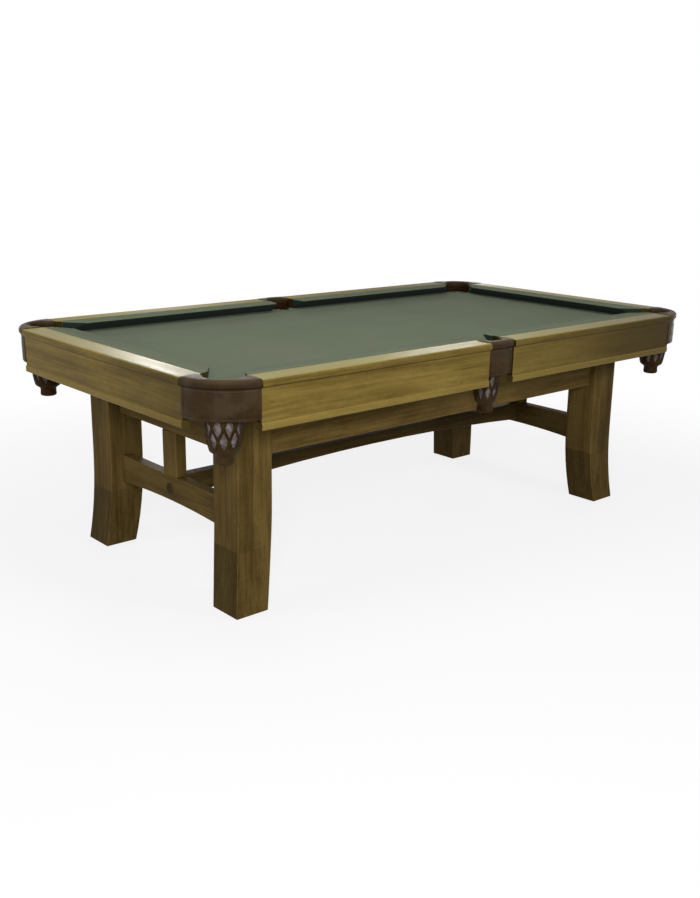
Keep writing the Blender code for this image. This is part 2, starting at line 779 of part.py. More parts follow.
def leather_section():
    """Rim roll over the iron, with a seam and the shield below it outside, and a lip inside."""
    crown = RAIL_TOP_Z + RIM_CROWN
    edge = crown - RIM_FALL
    seam = RAIL_LIP_Z
    foot = seam - SHIELD_HEIGHT
    under = crown - RIM_SKIN
    skin_depth = LEATHER_THICKNESS
    middle, half = (edge + seam) / 2, (edge - seam) / 2
    roll = [(1, a * (RIM_BULGE + SEAM_DEPTH) - SEAM_DEPTH, middle + half * b)
            for a, b in arc((0.0, 0.0), 1.0, -math.pi / 2, math.pi / 2, ROLL_STEPS)]
    inside = [(0, a, b) for a, b in
              arc((RIM_ROUND, edge - RIM_ROUND), RIM_ROUND, math.pi / 2, math.pi, EDGE_STEPS)]
    return [(1, 0.0, foot), (1, 0.0, seam - SEAM_HEIGHT), *roll, (0.5, 0.0, crown), *inside,
            (0, 0.0, LIP_BOTTOM_Z), (0, LIP_THICKNESS, LIP_BOTTOM_Z), (0, LIP_THICKNESS, under),
            (1, -skin_depth, under), (1, -skin_depth, foot)]


def iron_section():
    """Flat horseshoe casting inside the leather rim."""
    top = RAIL_TOP_Z + RIM_CROWN - RIM_SKIN - FIT
    low = top - IRON_THICKNESS
    inner = LIP_THICKNESS + FIT
    outer = -LEATHER_THICKNESS - FIT
    return [(0, inner, low), (0, inner, top), (1, outer, top), (1, outer, low)]


def build_pockets():
    """Six leather-covered pocket irons with their shields."""
    for name, stations, place, _centre, _radius in pockets():
        finish("pocket_leather_" + name, loft(stations, leather_section(), place), LEATHER, smooth=True)
        finish("pocket_iron_" + name, loft(stations, iron_section(), place), STEEL)


def net_width(radius, share):
    """Outer radius of a net's strap mesh, a share of the way down from the band to the bottom."""
    return radius * (1.0 - (1.0 - NET_TAPER) * share ** 2)


def net_surface(radius, centre):
    """Open surface of a net bag: a band, straps that cross in diamonds, and a bottom with a closed cup."""
    shape = bmesh.new()
    count = NET_DIAMONDS
    band_top = LIP_BOTTOM_Z - FIT
    band_foot = band_top - NET_BAND_HEIGHT
    cup_top = band_foot - NET_MESH_HEIGHT - NET_BOTTOM_DROP
    cup_foot = cup_top - NET_CUP_HEIGHT

    def ring(width, z, half_turns):
        turn = math.pi / count * half_turns
        points = arc(centre, width, turn, turn + math.tau, count)[:-1]
        return [shape.verts.new((x, y, z)) for x, y in points]

    rows = []
    for step in range(NET_STEPS + 1):
        share = step / NET_STEPS
        rows.append(ring(net_width(radius, share), band_foot - NET_MESH_HEIGHT * share, step))
    cup = [ring(NET_CUP_RADIUS, cup_top, NET_STEPS),
           ring(NET_CUP_RADIUS, cup_foot + NET_CUP_ROUND, NET_STEPS),
           ring(NET_CUP_RADIUS - NET_CUP_ROUND, cup_foot, NET_STEPS)]
    bridge(shape, ring(radius, band_top, 0), rows[0])
    for upper, lower in zip([rows[-1], *cup], cup):
        bridge(shape, upper, lower)
    shape.faces.new(cup[-1])
    gaps = []
    for index in range(count):
        before, after = index - 1, (index + 1) % count
        shape.faces.new((rows[0][index], rows[0][after], rows[1][index]))
        gaps.append(shape.faces.new((rows[-2][index], rows[-1][index], rows[-1][before])))
        for upper, middle, lower in zip(rows, rows[1:], rows[2:]):
            gaps.append(shape.faces.new((upper[index], middle[index], lower[before], middle[before])))
    bmesh.ops.recalc_face_normals(shape, faces=shape.faces[:])
    bmesh.ops.inset_individual(shape, faces=gaps, thickness=NET_STRAP_HALF, use_even_offset=True)
    bmesh.ops.delete(shape, geom=gaps, context="FACES")
    return shape


def build_nets():
    """Six strap nets that hang from the pocket leathers inside the slate notches."""
    for name, _stations, place, centre, notch in pockets():
        x, y, _z = place(*centre, 0.0)
        radius = notch * math.cos(math.pi / (2 * POCKET_STATIONS)) - NET_CLEARANCE
        net = finish("pocket_net_" + name, net_surface(radius, (x, y)), LEATHER)
        solidify = net.modifiers.new("strap_thickness", "SOLIDIFY")
        solidify.thickness = NET_THICKNESS
        solidify.offset = -1.0
        solidify.use_even_offset = True


def main():
    """Model the whole table."""
    clear_scene()
    build_legs()
    build_levellers()
    build_side_beams()
    build_cross_beams()
    build_end_beams()
    build_end_stretchers()
    build_long_stretcher()
    build_posts()
    build_bed()
    build_rails()
    build_cushions()
    build_aprons()
    build_pockets()
    build_nets()


main()
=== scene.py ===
"""Looks of a billiard table with a slate bed, sabre legs and six leather net pockets.

Metres, +Z up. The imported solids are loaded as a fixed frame. The wood, slate and metal solids stay and get
their finishes here. The bed cloth, the cushions, the pocket leathers and the nets are modelled as soft goods.
"""

import math

import bmesh
import bpy
from mathutils import Matrix, Vector


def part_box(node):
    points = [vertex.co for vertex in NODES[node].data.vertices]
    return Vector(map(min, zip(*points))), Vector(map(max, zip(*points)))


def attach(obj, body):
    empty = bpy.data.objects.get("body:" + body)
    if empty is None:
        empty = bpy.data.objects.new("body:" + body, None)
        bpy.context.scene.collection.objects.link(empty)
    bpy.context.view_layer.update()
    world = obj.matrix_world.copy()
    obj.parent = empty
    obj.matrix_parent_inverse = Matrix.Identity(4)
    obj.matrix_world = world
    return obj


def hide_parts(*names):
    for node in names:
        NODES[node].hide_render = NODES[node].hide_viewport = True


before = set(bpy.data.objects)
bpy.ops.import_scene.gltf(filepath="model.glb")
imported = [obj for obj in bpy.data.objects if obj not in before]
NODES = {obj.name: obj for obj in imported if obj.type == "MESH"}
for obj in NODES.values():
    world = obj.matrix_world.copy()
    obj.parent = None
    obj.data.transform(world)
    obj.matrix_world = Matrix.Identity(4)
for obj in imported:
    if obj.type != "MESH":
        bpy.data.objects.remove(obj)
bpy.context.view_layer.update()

bl_info = {
    "name": "Billiard Table Looks",
    "version": (1, 0, 0),
    "blender": (4, 5, 0),
    "location": "View3D > Sidebar > Table",
    "description": "Finishes, soft goods and stage of a billiard table with net pockets",
    "category": "Object",
}

BODY = "table"
SIGNS = (-1, 1)
AXIS_X, AXIS_Y, AXIS_Z = range(3)
UP = (0.0, 0.0, 1.0)
MIDDLE = (0.0, 0.0, 0.0)

# Places that the solids give
TRIM_HEIGHT = 0.022
BED_HALF_X, BED_HALF_Y, BED_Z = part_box("bed_cloth")[1]
FIELD_HALF_X = -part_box("cushion_left")[1].x
FIELD_HALF_Y = -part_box("cushion_front_left")[1].y
RAIL_TOP_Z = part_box("rail_left")[1].z
SEAM_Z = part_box("apron_left")[1].z
TRIM_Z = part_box("apron_left")[0].z + TRIM_HEIGHT
CUSHION_HEEL_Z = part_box("cushion_left")[0].z
CUSHION_DEPTH = -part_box("cushion_left")[0].x - FIELD_HALF_X
CROWN_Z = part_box("pocket_leather_front_left")[1].z
SHIELD_FOOT_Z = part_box("pocket_leather_front_left")[0].z
# Names by the signs of their places
CORNER_NAMES = {(-1, -1): "front_left", (1, -1): "front_right", (-1, 1): "back_left", (1, 1): "back_right"}
POCKET_NAMES = {**CORNER_NAMES, (0, -1): "front_side", (0, 1): "back_side"}


# Settings that a user may change

def Colour(name, description, default):
    """A colour setting."""
    return bpy.props.FloatVectorProperty(
        name=name, description=description, default=default, subtype="COLOR", min=0.0, max=1.0)


def Share(name, description, default):
    """A setting from 0 to 1."""
    return bpy.props.FloatProperty(
        name=name, description=description, default=default, subtype="FACTOR", min=0.0, max=1.0)


def Length(name, description, default, low, high):
    """A length setting within limits."""
    return bpy.props.FloatProperty(
        name=name, description=description, default=default, unit="LENGTH", min=low, max=high)


def Power(name, description, default):
    """A lamp's power."""
    return bpy.props.FloatProperty(name=name, description=description, default=default, unit="POWER", min=0.0)


class TableWood(bpy.types.PropertyGroup):
    """Oak of the rails, the aprons and the base."""
    rail_dark: Colour("Rail dark grain", "Dark streaks of the rail and apron oak", (0.098, 0.062, 0.011))
    rail_light: Colour("Rail light grain", "Light streaks of the rail and apron oak", (0.245, 0.175, 0.043))
    base_dark: Colour("Base dark grain", "Dark streaks of the base oak", (0.058, 0.034, 0.008))
    base_light: Colour("Base light grain", "Light streaks of the base oak", (0.156, 0.104, 0.031))
    wear: Share("Edge wear", "How much paler the broken edges are", 0.35)
    # Painted light: the rails' tops are made paler towards a light colour, as if lit from above
    brighten: Share("Brightening", "How far the rails' tops are bleached", 0.50)
    brightened: Colour("Brightened oak", "Colour that the rails' tops bleach to", (0.50, 0.43, 0.12))
    foot_joint: Length("Foot joint", "Height of a leg's joint with its foot block", 0.206, 0.05, 0.40)
    stave: Length("Stave width", "Width of the boards that a leg is glued up from", 0.0435, 0.02, 0.10)


class TableCloth(bpy.types.PropertyGroup):
    """Cloth of the bed and the cushions."""
    colour: Colour("Cloth", "Colour of the worsted cloth", (0.160, 0.193, 0.121))
    # Painted shade: the cloth's colour where its faces point sideways or down
    painted_shade: Colour("Shaded cloth", "Colour of the cloth that faces sideways or down", (0.012, 0.020, 0.017))
    thread: Length("Thread pitch", "Distance between two threads of the weave", 0.0009, 0.0003, 0.003)
    thickness: Length("Cloth thickness", "Thickness of the cloth", 0.0011, 0.0005, 0.0012)
    fold: Length("Pocket fold", "How far the cloth is turned down into a pocket", 0.0045, 0.002, 0.005)
    nose_round: Length("Nose rounding", "Rounding of a cushion's nose", 0.0026, 0.001, 0.003)
    cover: Length("Rail cover", "How far the cushions' cloth runs over the rails' tops", 0.0245, 0.001, 0.026)


class TableLeather(bpy.types.PropertyGroup):
    """Leather of the pockets and the nets."""
    hide: Colour("Leather", "Colour of the pocket leather", (0.028, 0.0135, 0.002))
    rubbed: Colour("Rubbed leather", "Colour where the leather is rubbed pale", (0.086, 0.056, 0.021))
    flesh: Colour("Lining", "Colour of the rough pale lining of the nets", (0.200, 0.170, 0.175))
    soiled: Colour("Soiled lining", "Colour of the lining's soiled patches", (0.070, 0.060, 0.035))
    bloom: Colour("Bloom", "Colour of the dull bloom on the leather", (0.078, 0.050, 0.024))
    thread: Colour("Thread", "Colour of the stitching", (0.085, 0.062, 0.036))
    stitch: Length("Stitch pitch", "Distance between two stitches", 0.0065, 0.003, 0.02)
    strap: Length("Half strap", "Half the width of a net strap", 0.0037, 0.002, 0.006)


class TableStage(bpy.types.PropertyGroup):
    """Powers of the lamps, and the fill."""
    key: Power("Key lamp", "Soft lamp on the camera's side", 90.0)
    top: Power("Top lamp", "Soft lamp over the bed", 23.0)
    window: Power("Window lamps", "Two lamps behind the table that shine on its rails", 24.0)
    front: Power("Front lamp", "Soft lamp before the long side", 30.0)
    left: Power("Left lamp", "Soft lamp before the left end", 16.0)
    back: Power("Back lamps", "Two low soft lamps behind the back and right aprons", 26.0)
    fill: Share("Fill", "Even light from all round", 0.07)


class TableLooks(bpy.types.PropertyGroup):
    """All settings of the table's looks."""
    wood: bpy.props.PointerProperty(type=TableWood)
    cloth: bpy.props.PointerProperty(type=TableCloth)
    leather: bpy.props.PointerProperty(type=TableLeather)
    stage: bpy.props.PointerProperty(type=TableStage)


# Finishes

def opaque(colour, gain=1.0):
    """A colour with full alpha."""
    return (*[min(1.0, channel * gain) for channel in colour], 1.0)


class Tree:
    """The shader nodes of a material or a world."""

    def __init__(self, owner):
        owner.use_nodes = True
        self.tree = owner.node_tree

    def node(self, kind, inputs=None, **settings):
        """Add a node, with its settings and its inputs by name or number."""
        made = self.tree.nodes.new(kind)
        for key, value in settings.items():
            setattr(made, key, value)
        for key, value in (inputs or {}).items():
            self.put(made.inputs[key], value)
        return made

    def put(self, socket, value):
        """Link a socket to another one, or set its value."""
        if isinstance(value, bpy.types.NodeSocket):
            self.tree.links.new(value, socket)
        else:
            socket.default_value = value

    def maths(self, operation, first, second=0.0, third=0.0):
        """One sum."""
        return self.node("ShaderNodeMath", {0: first, 1: second, 2: third}, operation=operation).outputs[0]

    def most(self, first, *others):
        """The greatest of some values."""
        for other in others:
            first = self.maths("MAXIMUM", first, other)
        return first

    def direct(self):
        """1 for rays that show the stage as the camera sees it, 0 for rays that only light the table."""
        path = self.node("ShaderNodeLightPath").outputs
        return self.most(*[path[ray] for ray in ("Is Camera Ray", "Is Transmission Ray", "Is Glossy Ray")])


class Finish(Tree):
    """One procedural finish, on Object coordinates."""

    def __init__(self, name):
        self.material = bpy.data.materials.new(name)
        super().__init__(self.material)
        self.shader = self.tree.nodes["Principled BSDF"]
        self.place = self.node("ShaderNodeTexCoord").outputs["Object"]

    def mapped(self, scale, shift=0.0):
        """Object coordinates with a scale for each axis."""
        inputs = {"Vector": self.place, "Scale": scale, "Location": (shift,) * 3}
        return self.node("ShaderNodeMapping", inputs).outputs["Vector"]

    def noise(self, scale=1.0, detail=2.0, rough=0.5, distortion=0.0, at=None):
        """Noise value at a place."""
        inputs = {"Vector": self.place if at is None else at, "Scale": scale, "Detail": detail,
                  "Roughness": rough, "Distortion": distortion}
        return self.node("ShaderNodeTexNoise", inputs).outputs["Fac"]

    def times(self, first, second):
        """One value times another."""
        return self.maths("MULTIPLY", first, second)

    def size(self, value):
        """A value without its sign."""
        return self.maths("ABSOLUTE", value)

    def gap(self, value, middle):
        """How far a value lies from another."""
        return self.size(self.maths("SUBTRACT", value, middle))

    def total(self, *terms):
        """The sum of values, each times its weight."""
        (value, weight), *others = terms
        result = self.times(value, weight)
        for value, weight in others:
            result = self.maths("MULTIPLY_ADD", value, weight, result)
        return result

    def spread(self, value, low, high, to_low=0.0, to_high=1.0):
        """Stretch a range of values smoothly to another."""
        inputs = {"Value": value, "From Min": low, "From Max": high, "To Min": to_low, "To Max": to_high}
        return self.node("ShaderNodeMapRange", inputs, interpolation_type="SMOOTHSTEP").outputs["Result"]

    def ranged(self, value, low, high):
        """Stretch the range that noise mostly has to another."""
        return self.spread(value, 0.3, 0.7, low, high)

    def blend(self, share, first, second, mode="MIX"):
        """Blend two colours."""
        made = self.node("ShaderNodeMix", {0: share, 6: first, 7: second}, data_type="RGBA", blend_type=mode)
        return made.outputs[2]

    def mottle(self, tone, low, high, colour, dark, light):
        """Shades of one colour, from dark to light as a tone goes from low to high."""
        return self.blend(self.spread(tone, low, high), opaque(colour, dark), opaque(colour, light))

    def axes(self, vector):
        """X, Y and Z of a vector."""
        return self.node("ShaderNodeSeparateXYZ", {0: vector}).outputs

    def facing(self):
        """X, Y and Z of the way that a face points."""
        return self.axes(self.node("ShaderNodeNewGeometry").outputs["True Normal"])

    def surface(self, colour, rough, relief, **others):
        """Set the colour, roughness and relief (height, distance, strength), and other sockets by name."""
        bump = self.node("ShaderNodeBump", dict(zip(("Height", "Distance", "Strength"), relief)))
        sockets = {"Base Color": colour, "Roughness": rough, "Normal": bump.outputs["Normal"], **others}
        for key, value in sockets.items():
            self.put(self.shader.inputs[key.replace("_", " ")], value)
        return self.material


# Figures of the oak's grain: length, width, and a shift that sets one pattern apart from the next
BANDS = (0.75, 0.050, 0.0)
LINES = (0.26, 0.0085, 3.7)
PORES = (0.040, 0.0016, 9.1)
FLECKS = (0.011, 0.026, 5.3)
MARKS = (0.030, 0.0055, 7.7)
STAIN = (0.22, 0.090, 1.9)
# How far a face points along the grain, from a long face to an end face
END_FACE = (0.22, 0.55)
# Share of a fade that a rail's top takes
TOP_FADE = 0.62


def broken_edge(look, facing):
    """1 on the narrow slanted faces of broken edges, 0 on flat faces."""
    return look.spread(look.most(*[look.size(side) for side in facing]), 0.97, 0.90)


def oak(name, axis, dark, light, wear, sheen, brighten=None, fade=None, paint=None):
    """Stained oak with its grain along one axis: bands, lines, pores, flecks, stain and worn edges."""
    look = Finish(name)

    def along(length, width, shift):
        scale = [1.0 / width] * 3
        scale[axis] = 1.0 / length
        return look.mapped(scale, shift)

    bands = look.noise(at=along(*BANDS), detail=3.0, rough=0.55, distortion=0.5)
    lines = look.noise(at=along(*LINES), detail=4.0, rough=0.62, distortion=0.35)
    pores = look.spread(look.noise(at=along(*PORES)), 0.60, 0.72)
    flecks = look.spread(look.noise(at=along(*FLECKS), distortion=0.8), 0.60, 0.74)
    marks = look.spread(look.noise(at=along(*MARKS), detail=3.0, distortion=0.6), 0.66, 0.74)
    stain = look.noise(at=along(*STAIN), detail=3.0, rough=0.6)
    facing = look.facing()
    tone = look.total((lines, 0.40), (bands, 0.42), (stain, 0.30))
    colour = look.blend(look.spread(tone, 0.36, 0.76), opaque(dark), opaque(light))
    for figure, share, tint in ((flecks, 0.16, opaque(light, 1.35)), (pores, 0.55, opaque(dark, 0.45)),
                                (marks, 0.50, opaque(dark, 0.35))):
        colour = look.blend(look.times(figure, share), colour, tint)
    end_grain = look.spread(look.size(facing[axis]), *END_FACE, 0.0, 0.95 if brighten else 0.50)
    colour = look.blend(end_grain, colour, opaque(dark, 0.15))
    # Painted light: faces that point up are made paler towards a light colour, as if lit from above
    if brighten:
        share, cream = brighten
        colour = look.blend(look.spread(facing[2], 0.80, 0.97, 0.0, share), colour, opaque(cream))
    # Darker towards one end along the grain, less so on faces that point up
    if fade:
        pale, deep, share = fade
        depth = look.maths("MULTIPLY_ADD", stain, 0.30, look.axes(look.place)[axis])
        side = look.times(look.spread(facing[2], 0.50, 0.90, 1.0, TOP_FADE), share)
        colour = look.blend(look.times(look.spread(depth, pale, deep), side), colour, opaque(dark, 0.5))
    if paint:
        colour = paint(look, colour, facing)
    rub = look.noise(38.0, detail=3.0, rough=0.65)
    worn = look.times(broken_edge(look, facing), look.ranged(rub, 0.25 * wear, wear))
    colour = look.blend(worn, colour, opaque(light, 1.7))
    height = look.total((pores, -0.70), (lines, 0.30))
    gloss = look.ranged(look.total((stain, 0.4), (lines, 0.6)), *sheen)
    return look.surface(colour, gloss, (height, 0.0004, 0.5), Specular_IOR_Level=0.05 if brighten else 0.03)


def leg_boards(joint, stave):
    """The boards of a leg: staves of slightly different oak, with a darker foot block below a joint."""
    def paint(look, colour, facing):
        x, y, z = look.axes(look.place)
        block = look.maths("LESS_THAN", z, joint)
        staves = [look.maths("FLOOR", look.maths("DIVIDE", side, stave)) for side in (x, y)]
        board = look.node("ShaderNodeCombineXYZ", dict(enumerate((*staves, block)))).outputs[0]
        tint = look.node("ShaderNodeTexWhiteNoise", {"Vector": board}).outputs["Value"]
        end_face = look.spread(look.size(facing[0]), 0.5, 0.9)
        line = look.spread(look.gap(z, joint), 0.0006, 0.0016, 0.45, 0.0)
        line = look.times(line, look.spread(end_face, 0.0, 1.0, 0.3, 1.0))
        shade = look.most(look.times(end_face, look.times(block, 0.36)), line)
        tint = look.times(look.spread(tint, 0.0, 1.0, 0.86, 1.12), look.maths("SUBTRACT", 1.0, shade))
        grey = look.node("ShaderNodeCombineColor", {0: tint, 1: tint, 2: tint}).outputs[0]
        return look.blend(1.0, colour, grey, "MULTIPLY")
    return paint


def rail_joint_shading(dark, light, axis):
    """Painted shade in the groove at the joint between a rail and its apron, the rail's outer side a little
    darker, and the paler trim at the apron's foot.
    """
    def paint(look, colour, facing):
        z = look.axes(look.place)[2]
        # Painted shade in the groove along the joint, on faces that don't point up; above it the rail's outer
        # side is a little darker
        joint = look.spread(look.gap(z, SEAM_Z), 0.0012, 0.0040, 0.65, 0.0)
        above = look.spread(z, SEAM_Z, SEAM_Z + 0.002, 0.0, 0.18)
        shade = look.times(look.spread(facing[2], 0.80, 0.50), look.most(joint, above))
        colour = look.blend(shade, colour, opaque(dark, 0.4))
        trim = look.times(look.spread(z, TRIM_Z + 0.001, TRIM_Z - 0.001, 0.0, 0.26),
                          look.spread(look.size(facing[axis]), *END_FACE, 1.0, 0.40))
        return look.blend(trim, colour, opaque(light, 1.6))
    return paint


def worsted(name, cloth):
    """Worsted wool cloth: a fine twill, a short nap, faint wear, chalk dust, and painted shade on the faces
    that point sideways or down.
    """
    look = Finish(name)
    x, y, _z = look.axes(look.place)
    turn = math.tau / cloth.thread
    twill, weft = [look.maths("SINE", look.times(look.maths(way, x, y), turn)) for way in ("ADD", "SUBTRACT")]
    weave = look.maths("MULTIPLY_ADD", weft, 0.35, twill)
    nap = look.noise(1500.0, detail=3.0, rough=0.7)
    felt = look.noise(260.0, detail=4.0, rough=0.7)
    drift = look.noise(3.2, detail=4.0, rough=0.6)
    dust = look.spread(look.noise(26.0, detail=5.0, rough=0.72), 0.60, 0.80)
    tone = look.total((felt, 0.35), (nap, 0.35), (drift, 0.30))
    shade = look.mottle(tone, 0.32, 0.68, cloth.colour, 0.86, 1.12)
    shade = look.blend(look.times(dust, 0.10), shade, opaque(cloth.colour, 1.9))
    # Painted shade: faces that point sideways or down, such as the cushions' noses and undercuts and the
    # folds into the pockets, are darkened
    shade = look.blend(look.spread(look.facing()[2], 0.50, 0.12, 0.0, 0.96), shade, opaque(cloth.painted_shade))
    height = look.maths("MULTIPLY_ADD", weave, 0.25, nap)
    return look.surface(shade, look.ranged(felt, 0.88, 0.98), (height, 0.00025, 0.6), Sheen_Weight=0.03,
                        Sheen_Roughness=0.45, Specular_IOR_Level=0.05)


def hide(name, leather, gloss, shine):
    """Oiled leather with a pebbled grain, streaks, a dull bloom, painted shade in the groove along the seam,
    and rubbed high places.
    """
    look = Finish(name)
    cells = look.node("ShaderNodeTexVoronoi", {"Vector": look.place, "Scale": 520.0},
                      feature="DISTANCE_TO_EDGE")
    pebble = look.spread(cells.outputs["Distance"], 0.0, 0.22)
    fine = look.noise(900.0, detail=3.0, rough=0.6)
    streak = look.noise(at=look.mapped((150.0, 150.0, 16.0)), detail=3.0, rough=0.6, distortion=0.4)
    cloud = look.noise(24.0, detail=4.0, rough=0.6)
    z = look.axes(look.place)[2]
    high = look.spread(z, SEAM_Z + 0.012, CROWN_Z - 0.001)
    dull = look.spread(look.noise(15.0, detail=3.0, rough=0.6), 0.42, 0.66, 0.0, 0.40)
    worn = look.times(high, look.spread(cloud, 0.35, 0.70, 0.25, 0.80))
    # Painted shade in the groove along the seam under the rim's roll
    seam = look.spread(look.gap(z, SEAM_Z), 0.0016, 0.0042, 0.72, 0.0)
    crease = look.times(look.maths("SUBTRACT", 1.0, pebble), 0.30)
    shade = look.mottle(look.total((cloud, 0.55), (streak, 0.45)), 0.33, 0.68, leather.hide, 0.74, 1.28)
    for share, tint in ((dull, opaque(leather.bloom)), (worn, opaque(leather.rubbed)),
                        (seam, opaque(leather.hide, 0.25)), (crease, opaque(leather.hide, 0.4))):
        shade = look.blend(share, shade, tint)
    height = look.maths("MULTIPLY_ADD", fine, 0.35, pebble)
    return look.surface(shade, look.ranged(cloud, gloss, gloss + 0.14), (height, 0.0003, 0.55),
                        Specular_IOR_Level=shine)


def suede(name, colour, soiled):
    """Rough flesh side of a strap, soiled in patches."""
    look = Finish(name)
    fibre = look.noise(700.0, detail=4.0, rough=0.75)
    cloud = look.noise(60.0, detail=3.0)
    shade = look.mottle(look.total((cloud, 0.5), (fibre, 0.5)), 0.3, 0.7, colour, 0.78, 1.18)
    patch = look.spread(look.noise(55.0, distortion=0.6), 0.42, 0.62, 0.85, 0.0)
    shade = look.blend(patch, shade, opaque(soiled))
    return look.surface(shade, look.ranged(cloud, 0.85, 0.95), (fibre, 0.0004, 0.6), Specular_IOR_Level=0.10)


def waxed_thread(name, colour):
    """Waxed thread with a twist."""
    look = Finish(name)
    twist = look.noise(1400.0)
    return look.surface(look.mottle(twist, 0.35, 0.65, colour, 0.7, 1.3), 0.6, (twist, 0.0002, 0.5))


def slate(name, dark, light):
    """Sawn slate with cleft streaks and dust."""
    look = Finish(name)
    streak = look.noise(at=look.mapped((9.0, 26.0, 160.0)), detail=5.0, rough=0.65)
    grit = look.noise(420.0, detail=3.0, rough=0.7)
    tone = look.total((grit, 0.35), (streak, 0.65))
    shade = look.blend(look.spread(tone, 0.32, 0.70), opaque(dark), opaque(light))
    return look.surface(shade, look.ranged(grit, 0.62, 0.82), (tone, 0.0005, 0.5))


def metal(name, dark, light, rough, pitting):
    """Bare metal with casting or turning marks."""
    look = Finish(name)
    marks = look.noise(at=look.mapped((260.0, 260.0, 900.0)), detail=3.0, rough=0.6)
    cloud = look.noise(70.0, detail=4.0, rough=0.6)
    shade = look.blend(look.spread(cloud, 0.35, 0.68), opaque(dark), opaque(light))
    return look.surface(shade, look.ranged(cloud, rough, rough + 0.2), (marks, pitting, 0.5), Metallic=1.0)


# Shared modelling

def looks():
    """The settings."""
    return bpy.context.scene.table_looks


def placed(name, data):
    """Put a new object in the scene."""
    item = bpy.data.objects.new(name, data)
    bpy.context.scene.collection.objects.link(item)
    return item


def modelled(name, shape, *materials):
    """Turn a bmesh into an object in the scene."""
    mesh = bpy.data.meshes.new(name)
    shape.to_mesh(mesh)
    shape.free()
    for material in materials:
        mesh.materials.append(material)
    return placed(name, mesh)


def piece(name, shape, materials, slot, *nodes, smooth=45.0):
    """Turn a bmesh into a piece that rides on the table and stands for CAD nodes."""
    item = modelled(name, shape, *materials)
    item.data.shade_smooth()
    item.data.set_sharp_from_angle(angle=math.radians(smooth))
    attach(item, BODY)
    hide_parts(*nodes)
    return item


def thicken(item, thickness):
    """Give a sheet a wall on its inner side."""
    wall = item.modifiers.new("thickness", "SOLIDIFY")
    wall.thickness = thickness
    wall.offset = -1.0
    return wall


def dress(material, *names):
    """Give CAD nodes a finish."""
    for name in names:
        for holder in NODES[name].material_slots:
            holder.material = material


def new_verts(result):
    """The vertices among an operator's results."""
    return [value for value in result if isinstance(value, bmesh.types.BMVert)]


def field_edge(sign_x, sign_y):
    """A place on the field's edge: a corner, or the middle of a side where one sign is 0."""
    return Matrix.Translation((sign_x * FIELD_HALF_X, sign_y * FIELD_HALF_Y, 0.0))


def settle(shape, place):
    """Move a whole shape to its place, and turn its faces outward."""
    bmesh.ops.transform(shape, matrix=place, verts=shape.verts[:])
    bmesh.ops.recalc_face_normals(shape, faces=shape.faces[:])


def soften(shape, parts, offset, segments, affect="EDGES"):
    """Round some edges or corners."""
    bmesh.ops.bevel(shape, geom=parts, offset=offset, offset_type="OFFSET", segments=segments, profile=0.5,
                    affect=affect, clamp_overlap=True, material=-1)


def turned_line(shape, points, steps):
    """Draw a line of points and spin it all the way round the vertical axis."""
    verts = [shape.verts.new(point) for point in points]
    edges = [shape.edges.new(pair) for pair in zip(verts, verts[1:])]
    bmesh.ops.spin(shape, geom=[*verts, *edges], cent=MIDDLE, axis=UP, angle=math.tau, steps=steps,
                   use_merge=True)


def sweep(shape, rings):
    """Draw a closed ring of points, extrude it through the places of the next rings, and cap both ends."""
    verts = [shape.verts.new(point) for point in rings[0]]
    edges = [shape.edges.new(pair) for pair in zip(verts, verts[1:] + verts[:1])]
    shape.faces.new(verts)
    for ring in rings[1:]:
        fresh = set(new_verts(bmesh.ops.extrude_edge_only(shape, edges=edges)["geom"]))
        verts = [next(edge.other_vert(vert) for edge in vert.link_edges if edge.other_vert(vert) in fresh)
                 for vert in verts]
        for vert, point in zip(verts, ring):
            vert.co = point
        edges = [shape.edges.get(pair) for pair in zip(verts, verts[1:] + verts[:1])]
    shape.faces.new(verts)
    bmesh.ops.recalc_face_normals(shape, faces=shape.faces[:])


# Base, rails, slate and metal

BASE_SHEEN = (0.46, 0.60)
# The base's oak apart from the legs': its grain's axis, and its tone beside the legs', which makes the side
# beams paler as painted light and the stretchers darker as painted shade
BASE_OAK = (("lit_beam_oak", AXIS_X, 1.35, ("side_beam_front", "side_beam_back")),
            ("shaded_stretcher_oak_x", AXIS_X, 0.66, ("long_stretcher",)),
            ("shaded_stretcher_oak_y", AXIS_Y, 0.52, ("end_stretcher_right",)),
            ("dark_oak_y", AXIS_Y, 1.0, ("end_stretcher_left", "end_beam_left", "end_beam_right",
                                         "cross_beam_left", "cross_beam_right")),
            ("dark_oak_z", AXIS_Z, 1.0, ("center_post_left", "center_post_right")))
# Each group of rails: its grain's axis, its sheen, where a darkening towards one end starts and ends and how
# deep it is
RAIL_OAK = (("front", AXIS_X, (0.33, 0.44), (0.08, 1.12, 0.92), ("front_left", "front_right")),
            ("back", AXIS_X, (0.56, 0.66), (0.08, 1.12, 0.92), ("back_left", "back_right")),
            ("ends", AXIS_Y, (0.33, 0.44), (0.20, -0.48, 0.80), ("left", "right")))
# How much of the base's wear the rails have
RAIL_WEAR = 0.3


class TABLE_OT_base(bpy.types.Operator):
    """Finish the legs, beams, stretchers and posts in dark oak"""
    bl_idname = "table.base"
    bl_label = "Base"

    def execute(self, context):
        wood = looks().wood
        finish = (wood.wear, BASE_SHEEN)
        tones = (wood.base_dark, wood.base_light)
        for name, axis, tone, nodes in BASE_OAK:
            # Painted light and shade: the tone lightens the side beams and darkens the stretchers
            toned = [[tone * channel for channel in colour] for colour in tones]
            dress(oak(name, axis, *toned, *finish), *nodes)
        boards = leg_boards(wood.foot_joint, wood.stave)
        dress(oak("leg_oak", AXIS_Z, *tones, *finish, paint=boards),
              *["leg_" + name for name in CORNER_NAMES.values()])
        return {"FINISHED"}


